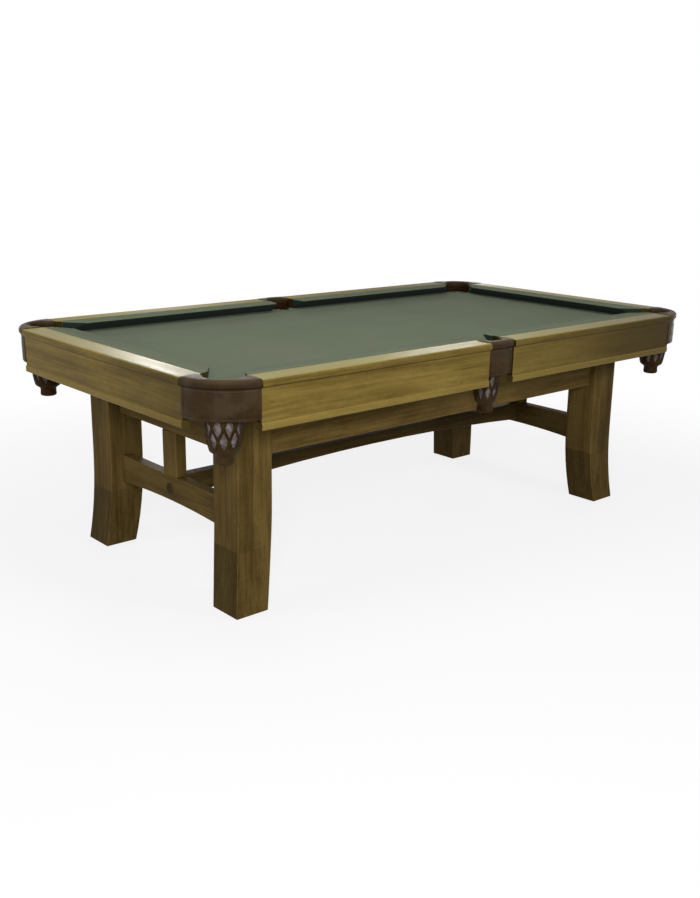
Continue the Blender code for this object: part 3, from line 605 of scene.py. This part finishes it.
class TABLE_OT_rails(bpy.types.Operator):
    """Finish the rails and aprons in golden oak"""
    bl_idname = "table.rails"
    bl_label = "Rails and aprons"

    def execute(self, context):
        wood = looks().wood
        tones = (wood.rail_dark, wood.rail_light)
        for place, axis, sheen, fade, names in RAIL_OAK:
            material = oak("rail_oak_" + place, axis, *tones, RAIL_WEAR * wood.wear, sheen,
                           (wood.brighten, wood.brightened), fade, rail_joint_shading(*tones, axis))
            dress(material, *[kind + name for name in names for kind in ("rail_", "apron_")])
        return {"FINISHED"}


class TABLE_OT_metal(bpy.types.Operator):
    """Finish the slates, the pocket irons and the levellers"""
    bl_idname = "table.metal"
    bl_label = "Slate and metal"

    def execute(self, context):
        stone = slate("sawn_slate", dark=(0.060, 0.066, 0.074), light=(0.150, 0.160, 0.170))
        dress(stone, "slate_left", "slate_center", "slate_right")
        iron = metal("cast_iron", dark=(0.030, 0.029, 0.028), light=(0.085, 0.080, 0.076), rough=0.55,
                     pitting=0.0006)
        dress(iron, *["pocket_iron_" + name for name in POCKET_NAMES.values()])
        steel = metal("zinc_steel", dark=(0.34, 0.34, 0.35), light=(0.52, 0.52, 0.53), rough=0.28,
                      pitting=0.0002)
        dress(steel, *["leveller_" + name for name in CORNER_NAMES.values()])
        return {"FINISHED"}


# Bed cloth

# Pocket holes, in axes that point out from the field's corner or from the middle of a side
CORNER_SHIFT = 0.045
CORNER_HOLE = 0.055
SIDE_SHIFT = 0.080
SIDE_HOLE = 0.045
LIP = 0.004
NOTCH_STEPS = 32
# The pockets in order round the bed, by the signs of their places
POCKETS_ROUND = ((-1, -1), (0, -1), (1, -1), (1, 1), (0, 1), (-1, 1))
# Rounding of a fold, as a share of its depth
FOLD_ROUND = 0.45
FOLD_STEPS = 3
# A face that points up more than this is flat
LEVEL = 0.999


class TABLE_OT_bed_cloth(bpy.types.Operator):
    """Stretch the cloth over the slates, with its edges folded down into the pockets"""
    bl_idname = "table.bed_cloth"
    bl_label = "Bed cloth"

    def execute(self, context):
        cloth = looks().cloth
        shape = bmesh.new()
        stops = [self.notch(shape, signs, cloth.thickness) for signs in POCKETS_ROUND]
        folds = shape.edges[:]
        for (_first, last), (after, _last) in zip(stops, stops[1:] + stops[:1]):
            shape.edges.new((last, after))
        bmesh.ops.edgeloop_fill(shape, edges=shape.edges[:])
        if shape.faces[:][0].normal.z < 0.0:
            bmesh.ops.reverse_faces(shape, faces=shape.faces[:])
        made = bmesh.ops.extrude_edge_only(shape, edges=folds)["geom"]
        bmesh.ops.translate(shape, verts=new_verts(made), vec=(0.0, 0.0, -cloth.fold))
        soften(shape, [edge for edge in folds if edge.is_valid], cloth.fold * FOLD_ROUND, FOLD_STEPS)
        bmesh.ops.triangulate(shape, faces=[face for face in shape.faces if len(face.verts) > 4])
        area = sum(face.calc_area() for face in shape.faces)
        material = worsted("bed_worsted", cloth)
        sheet = piece("bed_cloth_sheet", shape, [material], "cloth", "bed_cloth", smooth=60.0)
        for face in sheet.data.polygons:
            face.use_smooth = face.normal.z < LEVEL
        thicken(sheet, cloth.thickness)
        return {"FINISHED"}

    def notch(self, shape, signs, thickness):
        """Draw the arc of cloth round one pocket, and give its first and last vertex."""
        sign_x, sign_y = signs
        shift, hole = (CORNER_SHIFT, CORNER_HOLE) if sign_x else (SIDE_SHIFT, SIDE_HOLE)
        radius = hole + LIP - thickness
        middle = math.atan2(-sign_y, -sign_x)
        if sign_x:
            half = math.pi * 3 / 4 - math.acos((BED_HALF_X - FIELD_HALF_X - shift) / radius)
        else:
            half = math.pi / 2 - math.asin(max(0.0, FIELD_HALF_Y + shift - BED_HALF_Y) / radius)
        x, y = sign_x * (FIELD_HALF_X + shift), sign_y * (FIELD_HALF_Y + shift)
        start = middle + half
        first = shape.verts.new((x + radius * math.cos(start), y + radius * math.sin(start), BED_Z))
        made = bmesh.ops.spin(shape, geom=[first], cent=(x, y, BED_Z), axis=UP, angle=-2.0 * half,
                              steps=NOTCH_STEPS)
        return first, new_verts(made["geom_last"])[0]


# Cushions

CORNER_MOUTH = 0.125
SIDE_MOUTH = 0.132
CORNER_FACING = math.radians(38.0)
SIDE_FACING = math.radians(76.0)
NOSE_DROP = 0.0012
NOSE_HEIGHT = 0.0055
NOSE_STEPS = 4
CUSHION_TOE = 0.008
# The cloth is tucked in behind the cushion's heel
TUCK_DEPTH = 0.0040
TUCK_GAP = 0.0008
END_ROUND = 0.0016
END_STEPS = 2
COVER_LIFT = 0.0001
COVER_RISE = 0.0007
COVER_BEVEL = 0.0004
# How far the cover stays back from a cushion's end, and how far it leans out over the rail's end
COVER_CORNER = (0.0006, 0.367)
COVER_SIDE = (0.0060, 0.0)


class TABLE_OT_cushions(bpy.types.Operator):
    """Cover six rubber cushions with the cloth, rounded at the nose and at the pocket facings"""
    bl_idname = "table.cushions"
    bl_label = "Cushions"

    def execute(self, context):
        cloth = looks().cloth
        material = worsted("cushion_worsted", cloth)
        corner = (CORNER_MOUTH / math.sqrt(2.0), 1.0 / math.tan(CORNER_FACING))
        side = (SIDE_MOUTH / 2.0, 1.0 / math.tan(SIDE_FACING))
        for sign_y in SIGNS:
            for sign_x in SIGNS:
                run = sorted(((sign_x * (FIELD_HALF_X - corner[0]), sign_x * corner[1]),
                              (sign_x * side[0], -sign_x * side[1])))
                place = field_edge(0, sign_y)
                if sign_y < 0:
                    place = place @ Matrix.Scale(-1.0, 4, (0.0, 1.0, 0.0))
                self.cushion(CORNER_NAMES[sign_x, sign_y], run, place, material, cloth)
        for sign_x, name in zip(SIGNS, ("left", "right")):
            run = [(-FIELD_HALF_Y + corner[0], -corner[1]), (FIELD_HALF_Y - corner[0], corner[1])]
            place = field_edge(sign_x, 0) @ Matrix.Rotation(-sign_x * math.pi / 2, 4, "Z")
            self.cushion(name, run, place, material, cloth)
        return {"FINISHED"}

    def cushion(self, name, run, place, material, cloth):
        """One cushion: its section is extruded along X, and the ends are cut on a slant."""
        shape = bmesh.new()
        nose_top = RAIL_TOP_Z - NOSE_DROP
        tuck = BED_Z + TUCK_GAP
        section = [(0.0, nose_top - NOSE_HEIGHT), (CUSHION_DEPTH - CUSHION_TOE, CUSHION_HEEL_Z),
                   (CUSHION_DEPTH - TUCK_DEPTH, tuck), (CUSHION_DEPTH, tuck),
                   (CUSHION_DEPTH, RAIL_TOP_Z + COVER_RISE), (0.0, nose_top)]
        verts = [shape.verts.new((0.0, depth, z)) for depth, z in section]
        shape.faces.new(verts)
        soften(shape, [verts[0], verts[-1]], cloth.nose_round, NOSE_STEPS, "VERTICES")
        start = shape.verts[:]
        end = new_verts(bmesh.ops.extrude_face_region(shape, geom=shape.faces[:])["geom"])
        for ends, (at, slant) in zip((start, end), run):
            cut = Matrix.Identity(4)
            cut[0][1], cut[0][3] = slant, at
            bmesh.ops.transform(shape, matrix=cut, verts=ends)
        bmesh.ops.recalc_face_normals(shape, faces=shape.faces[:])
        caps = [face for face in shape.faces if len(face.verts) > 4]
        soften(shape, list({edge for face in caps for edge in face.edges}), END_ROUND, END_STEPS)
        self.cover(shape, run, CUSHION_DEPTH + cloth.cover)
        settle(shape, place)
        cushion = piece("cushion_cloth_" + name, shape, [material], "cushion", "cushion_" + name)

    def cover(self, shape, run, edge):
        """The cloth's flap over the rail's top, cut back from the rail's ends."""
        low, high = RAIL_TOP_Z + COVER_LIFT, RAIL_TOP_Z + COVER_RISE
        section = [(CUSHION_DEPTH, low), (edge, low), (edge, (low + high) / 2.0), (edge - COVER_BEVEL, high),
                   (CUSHION_DEPTH, high)]
        rings = []
        for at, slant in run:
            heel = at + slant * CUSHION_DEPTH
            back, lean = COVER_CORNER if abs(slant) > 1.0 else COVER_SIDE
            way = math.copysign(1.0, slant)
            rings.append([(heel + way * (lean * (depth - CUSHION_DEPTH) - back), depth, z)
                          for depth, z in section])
        sweep(shape, rings)


# Pocket leathers

CORNER_FLUSH = 0.1445
CORNER_INSET = 0.0225
CORNER_RAIL_END = 0.011
CORNER_HORN = 0.0763
SIDE_RAIL_END = 0.059
SIDE_SHIELD = 0.139
SIDE_BOW = 0.006
SIDE_LIP = 0.085
FIT = 0.0003
STATIONS = 28
HEM_PROUD = 0.0008
# The hem at a leather's end: places along the leather, and how far it stands proud there
CORNER_HEM = ((-0.0018, HEM_PROUD), (-0.0010, -HEM_PROUD), (-0.0003, 0.0))
SIDE_HEM = ((0.0, HEM_PROUD), (0.0045, HEM_PROUD), (0.0090, HEM_PROUD), (0.0098, -HEM_PROUD), (0.0106, 0.0))
SIDE_CLEAR = 0.0120
# The hem at a shield's foot, from the inside out: offset from the shield's face, and height over the foot
LEATHER_WALL = 0.0050
FOOT_HEM = ((-LEATHER_WALL, 0.0020), (-0.0040, 0.0004), (-0.0025, 0.0), (-0.0010, 0.0004), (0.0002, 0.0020),
            (0.0002, 0.0072), (-0.0008, 0.0086), (0.0, 0.0100))
SHIELD_CROWN = 0.0008
SHIELD_STEPS = 6
# The shield's top under the seam: offset, and drop from the seam
SEAM_TUCK = ((0.0, 0.0040), (-0.0006, 0.0022))
ROLL_BULGE = 0.0093
ROLL_BACK = 0.0020
ROLL_FALL = 0.001
ROLL_STEPS = 12
# The rim's crown: share of the way out, and fall from the top
RIM_CROWN = ((0.82, 0.0004), (0.5, 0.0), (0.2, 0.0003))
RIM_SKIN = 0.012
MOUTH_ROUND = 0.007
MOUTH_STEPS = 5
LIP_DROP = 0.005
LIP_BREAK = 0.001
# The end hems stand proud on the outer face only, up to a little under the seam
OUTER_FACE = -0.0009
HEM_STOP = 0.003
# Each pocket's two tabs under the rails' ends: a low and a high corner
TAB_Z = (0.7381, 0.7403)
CORNER_TABS = (((0.0764, -0.0200), (0.0920, -0.0020)), ((-0.0200, 0.0764), (-0.0020, 0.0920)))
SIDE_TABS = (((-0.0640, 0.0764), (-0.0456, 0.0880)), ((0.0456, 0.0764), (0.0640, 0.0880)))
STITCH_DROP = 0.0062
STITCH_SIZE = (0.0022, 0.00055, 0.00055)
# Roughness and specular level
POCKET_GLOSS = (0.44, 0.12)


def ring_arc(centre, radius, first, last, steps):
    """Points of an arc."""
    angles = [first + (last - first) * step / steps for step in range(steps + 1)]
    return [(centre[0] + radius * math.cos(angle), centre[1] + radius * math.sin(angle)) for angle in angles]


def corner_stations():
    """Inner and outer points round a corner pocket."""
    end = FIT - CORNER_RAIL_END
    inner = ring_arc((CORNER_SHIFT, CORNER_SHIFT), CORNER_HOLE, -math.pi / 4, math.pi * 3 / 4, STATIONS)
    horn = max(inner[0][0], CORNER_HORN)
    radius = math.hypot(CORNER_FLUSH + CORNER_INSET, end + CORNER_INSET)
    first = math.asin(CORNER_INSET / radius)
    outer = ring_arc((-CORNER_INSET, -CORNER_INSET), radius, first, math.pi / 2 - first, STATIONS)
    ends = [(at, math.sqrt(radius ** 2 - (at + CORNER_INSET) ** 2) - CORNER_INSET, proud)
            for at, proud in ((end, HEM_PROUD), (end * 0.5, HEM_PROUD), *CORNER_HEM)]
    rows = [((horn, at), (out, at), proud) for at, out, proud in ends]
    rows += [(*pair, 0.0) for pair in zip(inner, outer)]
    return rows + [((at, horn), (at, out), proud) for at, out, proud in reversed(ends)]


def side_stations():
    """Inner and outer points across a side pocket."""
    half = SIDE_RAIL_END - FIT
    clear = half - SIDE_CLEAR
    places = [(depth - half, proud) for depth, proud in SIDE_HEM]
    places += [(clear * (2.0 * step / STATIONS - 1.0), 0.0) for step in range(STATIONS + 1)]
    places += [(half - depth, proud) for depth, proud in reversed(SIDE_HEM)]
    rows = []
    for x, proud in places:
        rim = SIDE_SHIFT + math.sqrt(max(0.0, SIDE_HOLE ** 2 - x ** 2))
        rows.append(((x, max(rim, SIDE_LIP)), (x, SIDE_SHIELD + SIDE_BOW * (1.0 - (x / half) ** 2)), proud))
    return rows


def leather_section():
    """Points (share, offset, z) of the shield with its hem, the seam, the rim roll, and the lip inside."""
    edge = CROWN_Z - ROLL_FALL
    middle, half = (edge + SEAM_Z) / 2.0, (edge - SEAM_Z) / 2.0
    lip_foot = BED_Z - LIP_DROP
    under = CROWN_Z - RIM_SKIN
    hem_top, tuck = SHIELD_FOOT_Z + FOOT_HEM[-1][1], SEAM_Z - SEAM_TUCK[0][1]
    section = [(1, offset, SHIELD_FOOT_Z + rise) for offset, rise in FOOT_HEM]
    section += [(1, SHIELD_CROWN * math.sin(math.pi * step / SHIELD_STEPS),
                 hem_top + (tuck - hem_top) * step / SHIELD_STEPS) for step in range(1, SHIELD_STEPS)]
    section += [(1, offset, SEAM_Z - drop) for offset, drop in SEAM_TUCK]
    section += [(1, out * ROLL_BULGE - ROLL_BACK, middle + half * up)
                for out, up in ring_arc((0.0, 0.0), 1.0, -math.pi / 2, math.pi / 2, ROLL_STEPS)]
    section += [(share, 0.0, CROWN_Z - fall) for share, fall in RIM_CROWN]
    section += [(0, offset, z) for offset, z in ring_arc((MOUTH_ROUND, edge - MOUTH_ROUND), MOUTH_ROUND,
                                                         math.pi / 2, math.pi, MOUTH_STEPS)]
    return section + [(0, 0.0, lip_foot + LIP_BREAK), (0, LIP_BREAK, lip_foot), (0, LIP, lip_foot),
                      (0, LIP, under), (1, -LEATHER_WALL, under)]


class TABLE_OT_pocket_leathers(bpy.types.Operator):
    """Sew six pocket leathers: a rolled rim, a seam with its stitches, and a shield with a turned hem"""
    bl_idname = "table.pocket_leathers"
    bl_label = "Pocket leathers"

    def execute(self, context):
        leather = looks().leather
        materials = [hide("pocket_hide", leather, *POCKET_GLOSS),
                     waxed_thread("pocket_thread", leather.thread)]
        for (sign_x, sign_y), name in POCKET_NAMES.items():
            stations, tabs = (corner_stations(), CORNER_TABS) if sign_x else (side_stations(), SIDE_TABS)
            place = field_edge(sign_x, sign_y) @ Matrix.Diagonal((sign_x or 1, sign_y, 1.0, 1.0))
            self.leather(name, stations, tabs, place, materials, leather.stitch)
        return {"FINISHED"}

    def leather(self, name, stations, tabs, place, materials, pitch):
        """One pocket leather, drawn along its stations, with a tab under each rail's end."""
        shape = bmesh.new()
        sweep(shape, [self.ring(*station) for station in stations])
        self.stitches(shape, stations, pitch)
        for low, high in tabs:
            low, high = Vector((*low, TAB_Z[0])), Vector((*high, TAB_Z[1]))
            bmesh.ops.create_cube(shape, size=1.0, matrix=Matrix.Translation((low + high) / 2.0)
                                  @ Matrix.Diagonal((*(high - low), 1.0)))
        settle(shape, place)
        piece("pocket_hide_" + name, shape, materials, "leather", "pocket_leather_" + name, smooth=60.0)

    def ring(self, inner, outer, proud):
        """The leather's section at one station."""
        inner, outer = Vector((*inner, 0.0)), Vector((*outer, 0.0))
        way = (outer - inner).normalized()
        points = []
        for share, offset, z in leather_section():
            hemmed = share == 1 and offset > OUTER_FACE and z < SEAM_Z - HEM_STOP
            out = offset + (proud if hemmed else 0.0)
            points.append(inner.lerp(outer, share) + way * out + Vector((0.0, 0.0, z)))
        return points

    def stitches(self, shape, stations, pitch):
        """A row of stitches along the shield, under the seam."""
        spent, goal = 0.0, pitch
        points = [Vector((*outer, SEAM_Z - STITCH_DROP)) for _inner, outer, _proud in stations]
        for first, second in zip(points, points[1:]):
            length = (second - first).length
            turn = Matrix.Rotation(math.atan2(second.y - first.y, second.x - first.x), 4, "Z")
            while goal <= spent + length:
                at = first.lerp(second, (goal - spent) / length)
                made = bmesh.ops.create_icosphere(
                    shape, subdivisions=1, radius=1.0,
                    matrix=Matrix.Translation(at) @ turn @ Matrix.Diagonal((*STITCH_SIZE, 1.0)))
                for face in {face for vert in made["verts"] for face in vert.link_faces}:
                    face.material_index = 1
                goal += pitch
            spent += length


# Pocket nets

NET_BAND_TOP = 0.7370
NET_ROWS = (0.6837, 0.6447, 0.6057, 0.5667)
NET_TAPER = 0.74
NET_FLARE = 0.0009
NET_EASE = 0.0006
NET_CUP_RADIUS = 0.027
NET_STRAPS = 10
NET_CUTS = 2
NET_WALL = 0.0024
SAME_LEVEL = 1e-4
SAME_PLACE = 1e-5
LINING_GAP = 0.0032
LINING_RISE = 0.006
LINING_FOOT = 0.002
LINING_STEPS = 6
# Each step down to the cup and along it: its drop, and its radius as a share of the cup's
NET_CUP_STEPS = ((0.0060, 1.0), (0.0100, 0.98), (0.0120, 1.04), (0.0065, 1.0), (0.0025, 0.72))
# Roughness and specular level
STRAP_GLOSS = (0.52, 0.05)


class TABLE_OT_pocket_nets(bpy.types.Operator):
    """Hang six strap nets: a band, straps that cross in diamonds, and a closed cup"""
    bl_idname = "table.pocket_nets"
    bl_label = "Pocket nets"

    def execute(self, context):
        leather = looks().leather
        materials = [hide("strap_hide", leather, *STRAP_GLOSS),
                     suede("strap_flesh", leather.flesh, leather.soiled)]
        for name in POCKET_NAMES.values():
            low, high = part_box("pocket_net_" + name)
            middle = (low + high) / 2.0
            radius = (high.x - low.x) / 2.0 - NET_EASE
            self.net(name, (middle.x, middle.y, 0.0), radius, materials, leather.strap)
        return {"FINISHED"}

    def net(self, name, centre, radius, materials, strap):
        """One net about a vertical axis."""
        shape = bmesh.new()
        top, foot = NET_ROWS[0], NET_ROWS[-1]

        def width(z):
            share = min(1.0, max(0.0, (top - z) / (top - foot)))
            flare = max(0.0, (z - top) / (NET_BAND_TOP - top))
            return radius * (1.0 - (1.0 - NET_TAPER) * share ** 2) + NET_FLARE * flare ** 2

        self.lattice(shape, width, strap)
        self.cup(shape, width(foot))
        straps = set(shape.faces)
        high, low = top + LINING_RISE, foot + LINING_FOOT
        levels = [high - (high - low) * step / LINING_STEPS for step in range(LINING_STEPS + 1)]
        turned_line(shape, [(width(z) - NET_WALL - LINING_GAP, 0.0, z) for z in levels], 2 * NET_STRAPS)
        for face in set(shape.faces) - straps:
            face.material_index = 1
        bmesh.ops.recalc_face_normals(shape, faces=shape.faces[:])
        bmesh.ops.translate(shape, verts=shape.verts[:], vec=centre)
        net = piece("strap_net_" + name, shape, materials, "leather", "pocket_net_" + name, smooth=80.0)
        thicken(net, NET_WALL).material_offset = 1
        round_over = net.modifiers.new("rounding", "SUBSURF")
        round_over.levels = round_over.render_levels = 1

    def level(self, vert, *heights):
        """Whether a vertex lies at one of some heights."""
        return any(abs(vert.co.z - z) < SAME_LEVEL for z in heights)

    def lattice(self, shape, width, strap):
        """The band, and under it the straps round diamond openings."""
        top, foot = NET_ROWS[0], NET_ROWS[-1]
        turned_line(shape, [(width(z), 0.0, z) for z in (NET_BAND_TOP, *NET_ROWS)], NET_STRAPS)
        bmesh.ops.remove_doubles(shape, verts=shape.verts[:], dist=SAME_PLACE)
        bmesh.ops.rotate(shape, verts=[vert for vert in shape.verts if self.level(vert, *NET_ROWS[1::2])],
                         cent=MIDDLE, matrix=Matrix.Rotation(math.pi / NET_STRAPS, 3, "Z"))
        mesh_faces = [face for face in shape.faces if face.calc_center_median().z < top]
        bmesh.ops.triangulate(shape, faces=mesh_faces, quad_method="SHORT_EDGE")
        bmesh.ops.dissolve_edges(shape, edges=[edge for edge in shape.edges if any(
            all(self.level(vert, z) for vert in edge.verts) for z in NET_ROWS[1:-1])])
        openings = [face for face in shape.faces if all(vert.co.z < top + SAME_LEVEL for vert in face.verts)
                    and not any(sum(self.level(vert, z) for vert in face.verts) > 1 for z in (top, foot))]
        bmesh.ops.inset_individual(shape, faces=openings, thickness=strap, use_even_offset=True)
        bmesh.ops.delete(shape, geom=openings, context="FACES")
        bmesh.ops.subdivide_edges(shape, edges=shape.edges[:], cuts=NET_CUTS, use_grid_fill=True)
        for vert in shape.verts:
            scale = width(vert.co.z) / math.hypot(vert.co.x, vert.co.y)
            vert.co.x, vert.co.y = vert.co.x * scale, vert.co.y * scale

    def cup(self, shape, reach):
        """The closed cup under the straps."""
        rim = [edge for edge in shape.edges if edge.is_boundary
               and all(self.level(vert, NET_ROWS[-1]) for vert in edge.verts)]
        for drop, share in NET_CUP_STEPS:
            made = new_verts(bmesh.ops.extrude_edge_only(shape, edges=rim)["geom"])
            scale = NET_CUP_RADIUS * share / reach
            reach = NET_CUP_RADIUS * share
            bmesh.ops.scale(shape, verts=made, vec=(scale, scale, 1.0))
            bmesh.ops.translate(shape, verts=made, vec=(0.0, 0.0, -drop))
            rim = [edge for edge in shape.edges if edge.is_boundary
                   and all(vert in made for vert in edge.verts)]
        bmesh.ops.edgeloop_fill(shape, edges=rim)


# Stage

CAMERA_PLACE = (-2.630, -2.885, 1.3756)
CAMERA_YAW = 0.7337
CAMERA_PITCH = 0.2759
CAMERA_ROLL = 0.0176
FOCAL_PIXELS = 1054.8
CENTRE_PIXEL = 363.8
IMAGE_SIZE = (700, 898)
SENSOR = 36.0
FLOOR_HALF = 30.0
# The floor's shadow: where it starts to fade and where it is gone, and how much of it shows
SHADOW_FADE = (1.2, 3.2)
SHADOW_SHARE = 0.18
FLOOR_DARK, FLOOR_LIGHT, FLOOR_BOUNCE, WHITE = (opaque((grey,) * 3) for grey in (0.93, 0.97, 0.50, 1.0))
# Each lamp: its place, what it points at, its width and height, and its power as a share of a setting
LAMPS = {
    "key_lamp": ((-2.75, -3.05, 1.78), (-0.2, -0.2, 0.55), (1.0, 1.0), 1.0, "key"),
    "front_lamp": ((0.9, -3.3, 2.10), (0.3, -0.4, 0.40), (1.0, 0.8), 1.0, "front"),
    "top_lamp": ((-0.5, -0.4, 3.0), (-0.3, -0.3, 0.7), (2.4, 1.8), 1.0, "top"),
    "left_lamp": ((-3.3, 0.7, 1.3), (-1.1, 0.2, 0.6), (1.0, 0.8), 1.0, "left"),
    "right_lamp": ((3.9, 0.5, 0.46), (1.0, 0.0, 0.45), (1.4, 0.6), 1.0, "back"),
    "back_lamp": ((0.2, 3.7, 0.46), (0.0, 0.5, 0.45), (1.4, 0.6), 1.0, "back"),
    "end_window": ((1.50, 4.00, 1.79), (-1.10, -0.35, 0.78), (0.40, 0.60), 1.0, "window"),
    "side_window": ((3.35, 2.80, 1.67), (-0.24, -0.61, 0.78), (0.60, 0.70), 0.46, "window"),
}


class TABLE_OT_stage(bpy.types.Operator):
    """Lay a pale floor, and set the camera and soft lamps"""
    bl_idname = "table.stage"
    bl_label = "Stage"

    def execute(self, context):
        scene = context.scene
        stage = looks().stage
        scene.view_settings.view_transform = "Standard"
        self.floor()
        self.surround(scene, stage.fill)
        self.camera(scene)
        for name, (place, aim, size, share, setting) in LAMPS.items():
            self.lamp(name, place, aim, size, share * getattr(stage, setting))
        return {"FINISHED"}

    def floor(self):
        """A wide pale floor that keeps the table's shadow near it and fades to white."""
        look = Finish("pale_floor")
        look.tree.nodes.remove(look.shader)
        far = look.node("ShaderNodeVectorMath", {0: look.place}, operation="LENGTH").outputs["Value"]
        keep = look.spread(far, *SHADOW_FADE, SHADOW_SHARE, 0.0)
        tone = look.blend(look.noise(60.0, detail=3.0), FLOOR_DARK, FLOOR_LIGHT)
        shadowed = look.node("ShaderNodeBsdfDiffuse", {"Color": tone}).outputs[0]
        white = look.node("ShaderNodeEmission", {"Strength": 1.0}).outputs[0]
        seen = look.node("ShaderNodeMixShader", {0: keep, 1: white, 2: shadowed}).outputs[0]
        plain = look.node("ShaderNodeBsdfDiffuse", {"Color": FLOOR_BOUNCE}).outputs[0]
        both = look.node("ShaderNodeMixShader", {0: look.direct(), 1: plain, 2: seen}).outputs[0]
        look.put(look.tree.nodes["Material Output"].inputs["Surface"], both)
        shape = bmesh.new()
        bmesh.ops.create_grid(shape, x_segments=1, y_segments=1, size=FLOOR_HALF)
        item = modelled("floor", shape, look.material)

    def surround(self, scene, fill):
        """Even fill light, and a white background."""
        scene.world = bpy.data.worlds.new("surround")
        look = Tree(scene.world)
        strength = look.node("ShaderNodeMapRange", {"Value": look.direct(), "To Min": fill, "To Max": 1.0})
        back = look.tree.nodes["Background"].inputs
        look.put(back["Color"], WHITE)
        look.put(back["Strength"], strength.outputs["Result"])

    def camera(self, scene):
        """The photograph's viewpoint."""
        data = bpy.data.cameras.new("camera")
        item = scene.camera = placed("camera", data)
        ahead = Vector((math.cos(CAMERA_PITCH) * math.sin(CAMERA_YAW),
                        math.cos(CAMERA_PITCH) * math.cos(CAMERA_YAW), -math.sin(CAMERA_PITCH)))
        level = Vector((math.cos(CAMERA_YAW), -math.sin(CAMERA_YAW), 0.0))
        upright = level.cross(ahead)
        right = level * math.cos(CAMERA_ROLL) + upright * math.sin(CAMERA_ROLL)
        above = upright * math.cos(CAMERA_ROLL) - level * math.sin(CAMERA_ROLL)
        turn = Matrix((right, above, -ahead)).transposed().to_4x4()
        item.matrix_world = Matrix.Translation(CAMERA_PLACE) @ turn
        data.sensor_width = SENSOR
        data.lens = FOCAL_PIXELS * SENSOR / max(IMAGE_SIZE)
        data.shift_x = (IMAGE_SIZE[0] / 2.0 - CENTRE_PIXEL) / max(IMAGE_SIZE)

    def lamp(self, name, place, aim, size, power):
        """One soft rectangular lamp, not seen by the camera."""
        data = bpy.data.lights.new(name, "AREA")
        data.shape = "RECTANGLE"
        data.size, data.size_y = size
        data.energy = power
        item = placed(name, data)
        item.location = place
        item.rotation_euler = (Vector(aim) - Vector(place)).to_track_quat("-Z", "Y").to_euler()
        item.visible_camera = False


class TABLE_PT_looks(bpy.types.Panel):
    """Lists the steps and their settings"""
    bl_label = "Billiard Table"
    bl_idname = "TABLE_PT_looks"
    bl_space_type = "VIEW_3D"
    bl_region_type = "UI"
    bl_category = "Table"

    def draw(self, context):
        for step in STEPS:
            self.layout.operator(step.bl_idname)
        for name in ("wood", "cloth", "leather", "stage"):
            group = getattr(context.scene.table_looks, name)
            box = self.layout.box()
            box.label(text=name.capitalize())
            for key in group.__annotations__:
                box.prop(group, key)


STEPS = (TABLE_OT_stage, TABLE_OT_base, TABLE_OT_rails, TABLE_OT_metal, TABLE_OT_bed_cloth, TABLE_OT_cushions,
         TABLE_OT_pocket_leathers, TABLE_OT_pocket_nets)
CLASSES = (TableWood, TableCloth, TableLeather, TableStage, TableLooks, *STEPS, TABLE_PT_looks)


def register():
    """Add the classes and the settings to Blender."""
    for kind in CLASSES:
        bpy.utils.register_class(kind)
    bpy.types.Scene.table_looks = bpy.props.PointerProperty(type=TableLooks)


def unregister():
    """Take them out again."""
    del bpy.types.Scene.table_looks
    for kind in reversed(CLASSES):
        bpy.utils.unregister_class(kind)


def main():
    """Run every step in order."""
    register()
    for step in STEPS:
        group, name = step.bl_idname.split(".")
        getattr(getattr(bpy.ops, group), name)()


if __name__ == "__main__":
    main()
